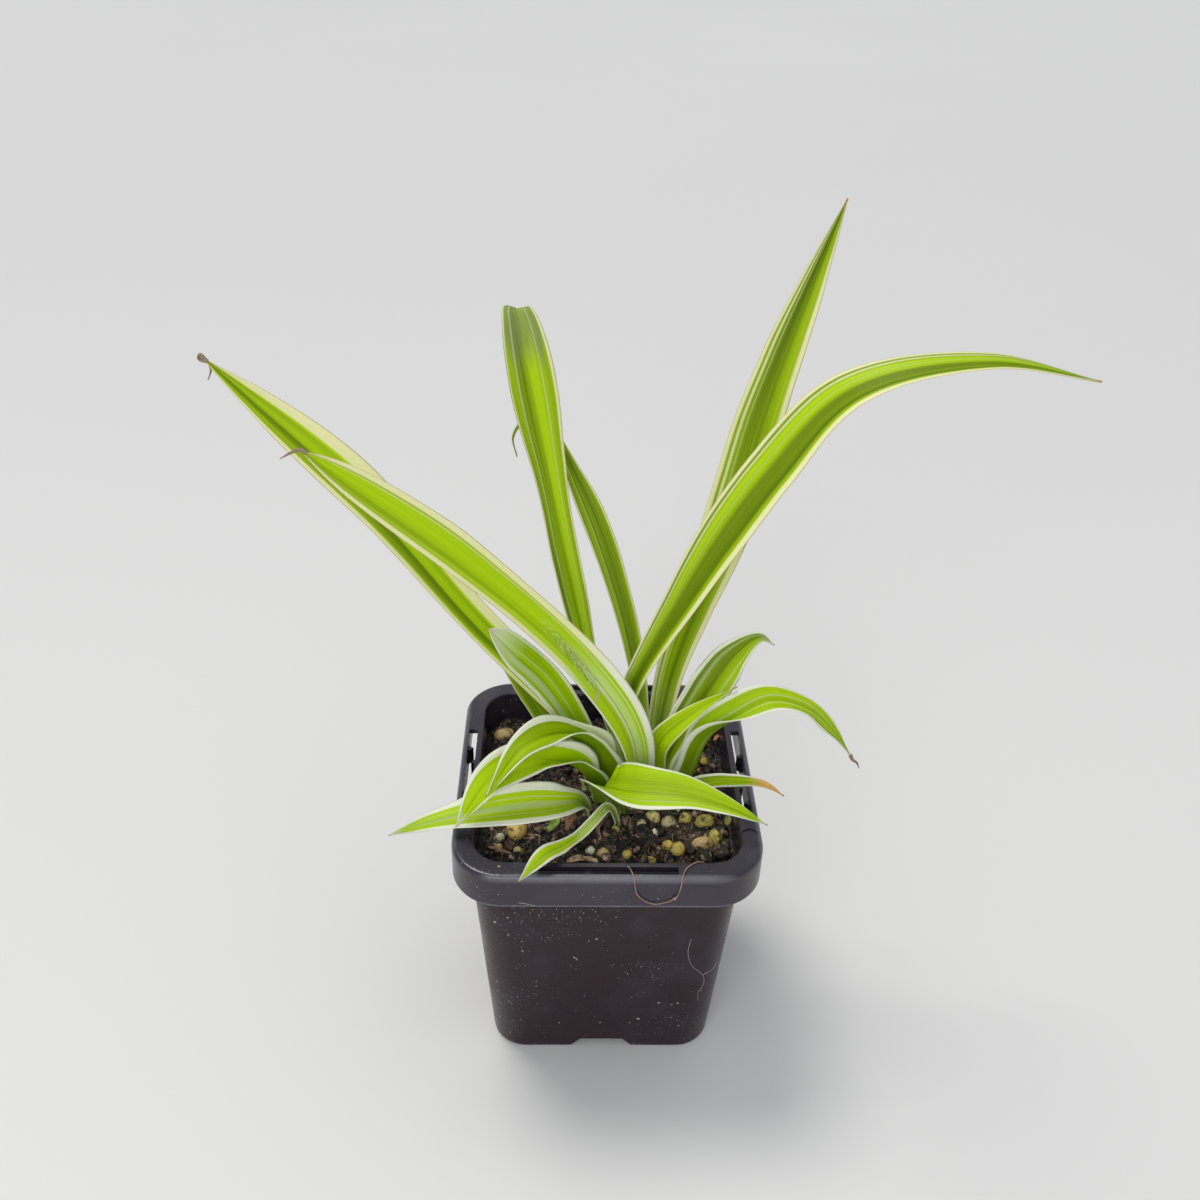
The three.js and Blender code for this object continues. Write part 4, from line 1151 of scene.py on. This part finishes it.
def buildLeaves():
    # each blade is its sheet made a shell, thinner towards the margins by v^4
    p = leafShape
    for k, (name, own) in enumerate(leaves.items()):
        leaf = {**plainLeaf, **own}
        sheet, s, v = leafSheet(leaf, 100 + k)
        thick = p["edgeThick"] + (p["thick"] - p["edgeThick"]) * (1 - v**4)
        rings = closedShell(sheet, np.broadcast_to(thick, sheet.shape[:2]))
        piece = meshObject(name.replace("leaf", "blade"), *skin(rings))
        setUv(piece, ringValues((thereAndBack(v) + 1) / 2, s, 0.5))
        beneath = np.arange(rings.shape[1]) >= len(v)
        setPointValue(piece, "under", ringValues(beneath.astype(float), s, 0.5)[:, 0])
        finishPiece(piece, leafMaterial(name, leaf, 7.3 * k), "leaf", name)
    print("leaves:", len(leaves))


def paleStops(leaf):
    # where across the blade it is pale: the two margins and the stripes between them
    left, right = leaf["edges"]
    soft = 0.012
    stops = [(0, 1), (left - soft, 1), (left + soft, 0)]
    for place, width, strength in sorted(leaf["stripes"]):
        stops += [(place - width / 2 - soft, 0), (place - width / 4, strength),
                  (place + width / 4, strength), (place + width / 2 + soft, 0)]
    stops += [(1 - right - soft, 0), (1 - right + soft, 1), (1, 1)]
    return [(place, (value,) * 3) for place, value in stops]


def leafMaterial(name, leaf, seed):
    # across and up come from the blade's own map. Broad and narrow bands of green run along it,
    # the pale margins and stripes waver slightly, and fine ribs raise the surface
    look = leafLook
    material, shader, place = newMaterial(name)
    across, up, _ = place.node("ShaderNodeUVMap", {}, "UV", uv_map="blade").split()

    def streaks(acrossScale, upScale, shift, detail):
        vector = {0: across * acrossScale, 1: up * upScale, 2: seed + shift}
        return up.node("ShaderNodeCombineXYZ", vector).noise(1.0, detail)

    kinds = ("wander", "fine", "broad", "narrow")
    wander, fine, broad, narrow = (streaks(*look[kind]) - 0.5 for kind in kinds)
    moved = across + wander * look["wanderShare"]
    margins = fine * look["marginShare"] + moved
    pale, tint = margins.ramp(paleStops(leaf)), look[leaf["pale"]]
    if "base" in leaf:
        low = up.stretch(*leaf["baseEnds"])
        pale = blend(low, pale, margins.ramp(paleStops(leaf["base"])))
        tint = blend(low, tint, look["white"])
    if "whiteTip" in leaf:
        pale = pale.most(up.stretch(leaf["whiteTip"], 0.995, 0, look["whiteShare"]))
    ends, tone, swing, slight = look["streakRange"], leaf["tone"], leaf["contrast"], look["fineSwing"]
    swung = swing * look["narrowSwing"]
    mid = broad.stretch(-ends, ends, tone - swing, tone + swing) \
        + narrow.stretch(-ends, ends, -swung, swung)
    heart = moved.ramp([(spot, (value,) * 3) for spot, value in look["heartAt"]])
    mid = (mid - heart * leaf["heart"] + fine.stretch(-ends, ends, -slight, slight)).clamped()
    green = blend(mid, look["deep"], look["bright"])
    height = streaks(*look["ribs"]) * look["ribHeight"] + place.noise(*look["cells"]) * look["cellHeight"]
    if "patch" in leaf:
        green, height = blistered(green, height, across, up, streaks(*look["speckle"]), *leaf["patch"])
    # painted shade: a dull grey-green over the tip where it bends back, with a ragged lower edge
    if "tipShade" in leaf:
        ragged = narrow * look["tipShadeWander"] + up
        green = blend(ragged.stretch(*leaf["tipShade"], 0, look["tipShadeShare"]), green, look["tipShade"])
    colour = blend(pale, green, tint)
    colour = blend(up.stretch(*look["rootEnds"]), colour, look["root"])
    # painted shade: the undersides darken towards a deep green, except under the pale margins and stripes
    beneath = place.attribute("under") * pale.stretch(0, 1, look["underShadeShare"], 0)
    colour = blend(beneath, colour, look["underShade"])
    dryFrom = leaf.get("dryFrom", 0.996 if "whiteTip" in leaf else 0.985)
    dry = (up + narrow * look["dryWander"]).stretch(dryFrom, min(dryFrom + look["dryReach"], 1.0))
    colour = blend(dry, colour, look["dry"])
    rough = broad.stretch(-ends, ends, *look["roughness"]) + dry * look["dryRoughness"]
    feed(shader, {"Base Color": colour, "Roughness": rough, "Specular IOR Level": look["shine"]})
    bump(shader, height, look["bump"])
    glow = colour.node("ShaderNodeBsdfTranslucent", {"Color": colour})
    mixed = glow.node("ShaderNodeMixShader", {0: look["glow"], 1: Field(shader.outputs[0]), 2: glow})
    feed(material.node_tree.nodes["Material Output"], {"Surface": mixed})
    return material


def blistered(green, height, across, up, streaks, start, end):
    # a speckled blister that leans across the blade, with painted glints on its raised speckles, and a tan
    # crease under it
    look, b = leafLook, blister
    full, over, back = b["ends"]
    wide = abs(up * b["lean"] + (across - b["middle"])).stretch(*b["wide"])
    area = wide * (up.stretch(start, start + full) * up.stretch(end + over, end + back))
    speckle = streaks.stretch(*b["speckle"])
    # painted glints: pale speckles over a green ground across the blister, on the speckles that the bump
    # raises
    green = blend(area * b["share"], green, blend(speckle, look["dimple"], look["blisterGlint"]))
    crease = abs(up - start).stretch(*b["creaseWide"]) * across.stretch(*b["creaseEnd"])
    return blend(crease, green, look["crease"]), height + area * speckle * b["height"]


crownShape = {
    "x": 7, "y": 4, "halfX": 14.5, "halfY": 11, "base": 60, "top": 74.5, "rows": 26, "around": 90,
    "sheaths": 11, "sheathTurn": 2.399, "sheathThick": 0.45, "sheathRows": 22, "sheathColumns": 17,
}
crownLook = {
    "pale": (0.40, 0.46, 0.16), "green": (0.16, 0.27, 0.02), "husk": (0.05, 0.028, 0.014),
    "ribs": 22.0, "ribShare": (0.42, 0.7), "stain": (260, 3), "stainShare": (0.2, 0.5),
    "low": (0.85, 0.5), "lip": (0.93, 1.0), "roughness": 0.5, "bump": 0.0003,
}


def buildCrown():
    # a core whose radius falls as sqrt(1 - 0.93 t^2.4), and round it overlapping sheaths, each a
    # strip of a slightly larger core that ends in a rounded lip and leans out
    c = crownShape

    def around(angle, share, grow, rise):
        # places at share of the crown's half widths, plus grow
        return np.stack([c["x"] + ((c["halfX"] - 1) * share + grow) * np.cos(angle),
                         c["y"] + ((c["halfY"] - 1) * share + grow) * np.sin(angle),
                         c["base"] + rise * np.ones(share.shape)], -1)

    tall = c["top"] - c["base"]
    t = np.linspace(0, 1, c["rows"])[:, None]
    turn = np.linspace(0, 2 * np.pi, c["around"], endpoint=False)
    shrink = np.sqrt(1 - 0.93 * t**2.4) * (1 + 0.03 * np.cos(9 * turn) * t)
    parts = [skin(around(turn, shrink, 0, (tall - 0.6) * t))]
    places = [ringValues(turn / (2 * np.pi) * 5, t[:, 0], 0)]
    rng = np.random.default_rng(3)
    u, t = np.linspace(-1, 1, c["sheathColumns"]), np.linspace(0, 1, c["sheathRows"])[:, None]
    for k in range(c["sheaths"]):
        spread = rng.uniform(0.55, 0.85)
        reach = rng.uniform(0.55, 0.98)
        angle = c["sheathTurn"] * k + u * spread * (1 - 0.25 * t)
        rise = t * reach * (1 - 0.35 * u**2)
        grow = 0.2 + 0.05 * k + 0.35 * (1 - u**2) * t
        sheet = around(angle, np.sqrt(1 - 0.9 * rise**2.4), grow, tall * rise)[:, ::-1]
        parts.append(skin(closedShell(sheet, np.full(sheet.shape[:2], c["sheathThick"]))))
        places.append(ringValues((thereAndBack(u) + 1) / 2 + 3 * k, t[:, 0], k))
    crown = meshObject("leaf_sheaths", *joined(parts))
    setUv(crown, np.vstack(places))
    finishPiece(crown, crownMaterial(), "crown", "crown")
    print("crown: core and", c["sheaths"], "sheaths")


def crownMaterial():
    # pale sheath bases with green ribs, browned towards the soil and at their lips
    look = crownLook
    material, shader, place = newMaterial("leaf_sheath")
    across, up, _ = place.node("ShaderNodeUVMap", {}, "UV", uv_map="blade").split()
    ribs = up.node("ShaderNodeCombineXYZ", {0: across * look["ribs"], 1: up}).noise(1.0, 2)
    colour = blend(ribs.stretch(*look["ribShare"]), look["pale"], look["green"])
    ends = up.stretch(*look["low"]).most(up.stretch(*look["lip"]))
    husk = place.noise(*look["stain"]).stretch(*look["stainShare"]) * ends
    feed(shader, {"Base Color": blend(husk, colour, look["husk"]), "Roughness": look["roughness"]})
    bump(shader, ribs, look["bump"])
    return material


rootThread = {
    "route": [(3.6, -34.6, 69.5), (4.4, -35.2, 76.2), (5.1, -36.6, 77.3), (6.0, -39.2, 77.3),
              (6.6, -40.45, 74.6), (7.2, -40.5, 71.9), (9.3, -40.4, 69.4), (11.8, -40.4, 68.4),
              (13.6, -40.4, 68.7), (15.5, -40.4, 69.5), (17.2, -40.5, 71.3), (18.0, -40.4, 74.6),
              (18.5, -39.1, 77.3), (19.9, -36.4, 77.3), (22.5, -34.4, 77.1), (24.6, -33.4, 75.5),
              (25.6, -32.2, 70)],
    "radius": 0.13, "uneven": 0.2, "steps": 180, "sides": 8,
    "knot": 9.0, "knotRadius": 0.35, "knotLength": 0.006,  # the knot's place counts route points
    "mottle": (900, 3), "colours": ((0.20, 0.10, 0.06), (0.50, 0.30, 0.24)),
    "roughness": 0.6, "depth": 0.0001,
}


def buildRootThread():
    # a thin root over the rim, uneven as a sine, with one knot, exp(-x^2)
    r = rootThread
    share = np.linspace(0, 1, r["steps"])
    past = (share - r["knot"] / (len(r["route"]) - 1)) / r["knotLength"]
    radii = r["radius"] * (1 + r["uneven"] * np.sin(share * 60)) + r["knotRadius"] * np.exp(-past**2)
    path = smoothPath(r["route"], r["steps"])
    root = meshObject("root_thread", *skin(tubeRings(path, radii, r["sides"])))
    finishPiece(root, mottledMaterial("root_thread", r), "soil")
    print("root thread over the rim")


dryTips = {
    "far_left": [(-100, 30, 182.2), (-102, 30, 182.9), (-101.6, 30, 184), (-100.2, 30, 182.4),
                 (-99.6, 30, 180), (-100.7, 30, 177.3)],
    "left": [(-70.2, -6, 175.6), (-71.5, -6, 176.3), (-73.2, -6, 175.7), (-76.1, -6, 174)],
    "right_wavy": [(68, 4, 79.8), (68.8, 4, 78.2), (70.2, 4, 77), (70.9, 4, 75.2)],
}
dryTipLook = {
    "radii": (0.60, 0.12), "steps": 40, "sides": 8,
    "mottle": (700, 3), "colours": ((0.07, 0.045, 0.03), (0.42, 0.30, 0.19)),
    "roughness": 0.6, "depth": 0.0001,
}


def buildDryTips():
    # withered leaf ends: a tapered thread along each route
    look = dryTipLook
    tips = [thread(route, look["steps"], look["radii"], look["sides"]) for route in dryTips.values()]
    finishPiece(meshObject("dry_tips", *joined(tips)), mottledMaterial("dry_tip", look), "leaf")
    print("dry tips:", len(dryTips))


addCamera()
addStudio()
buildPot()
buildSoil()
buildLeaves()
buildCrown()
buildRootThread()
buildDryTips()
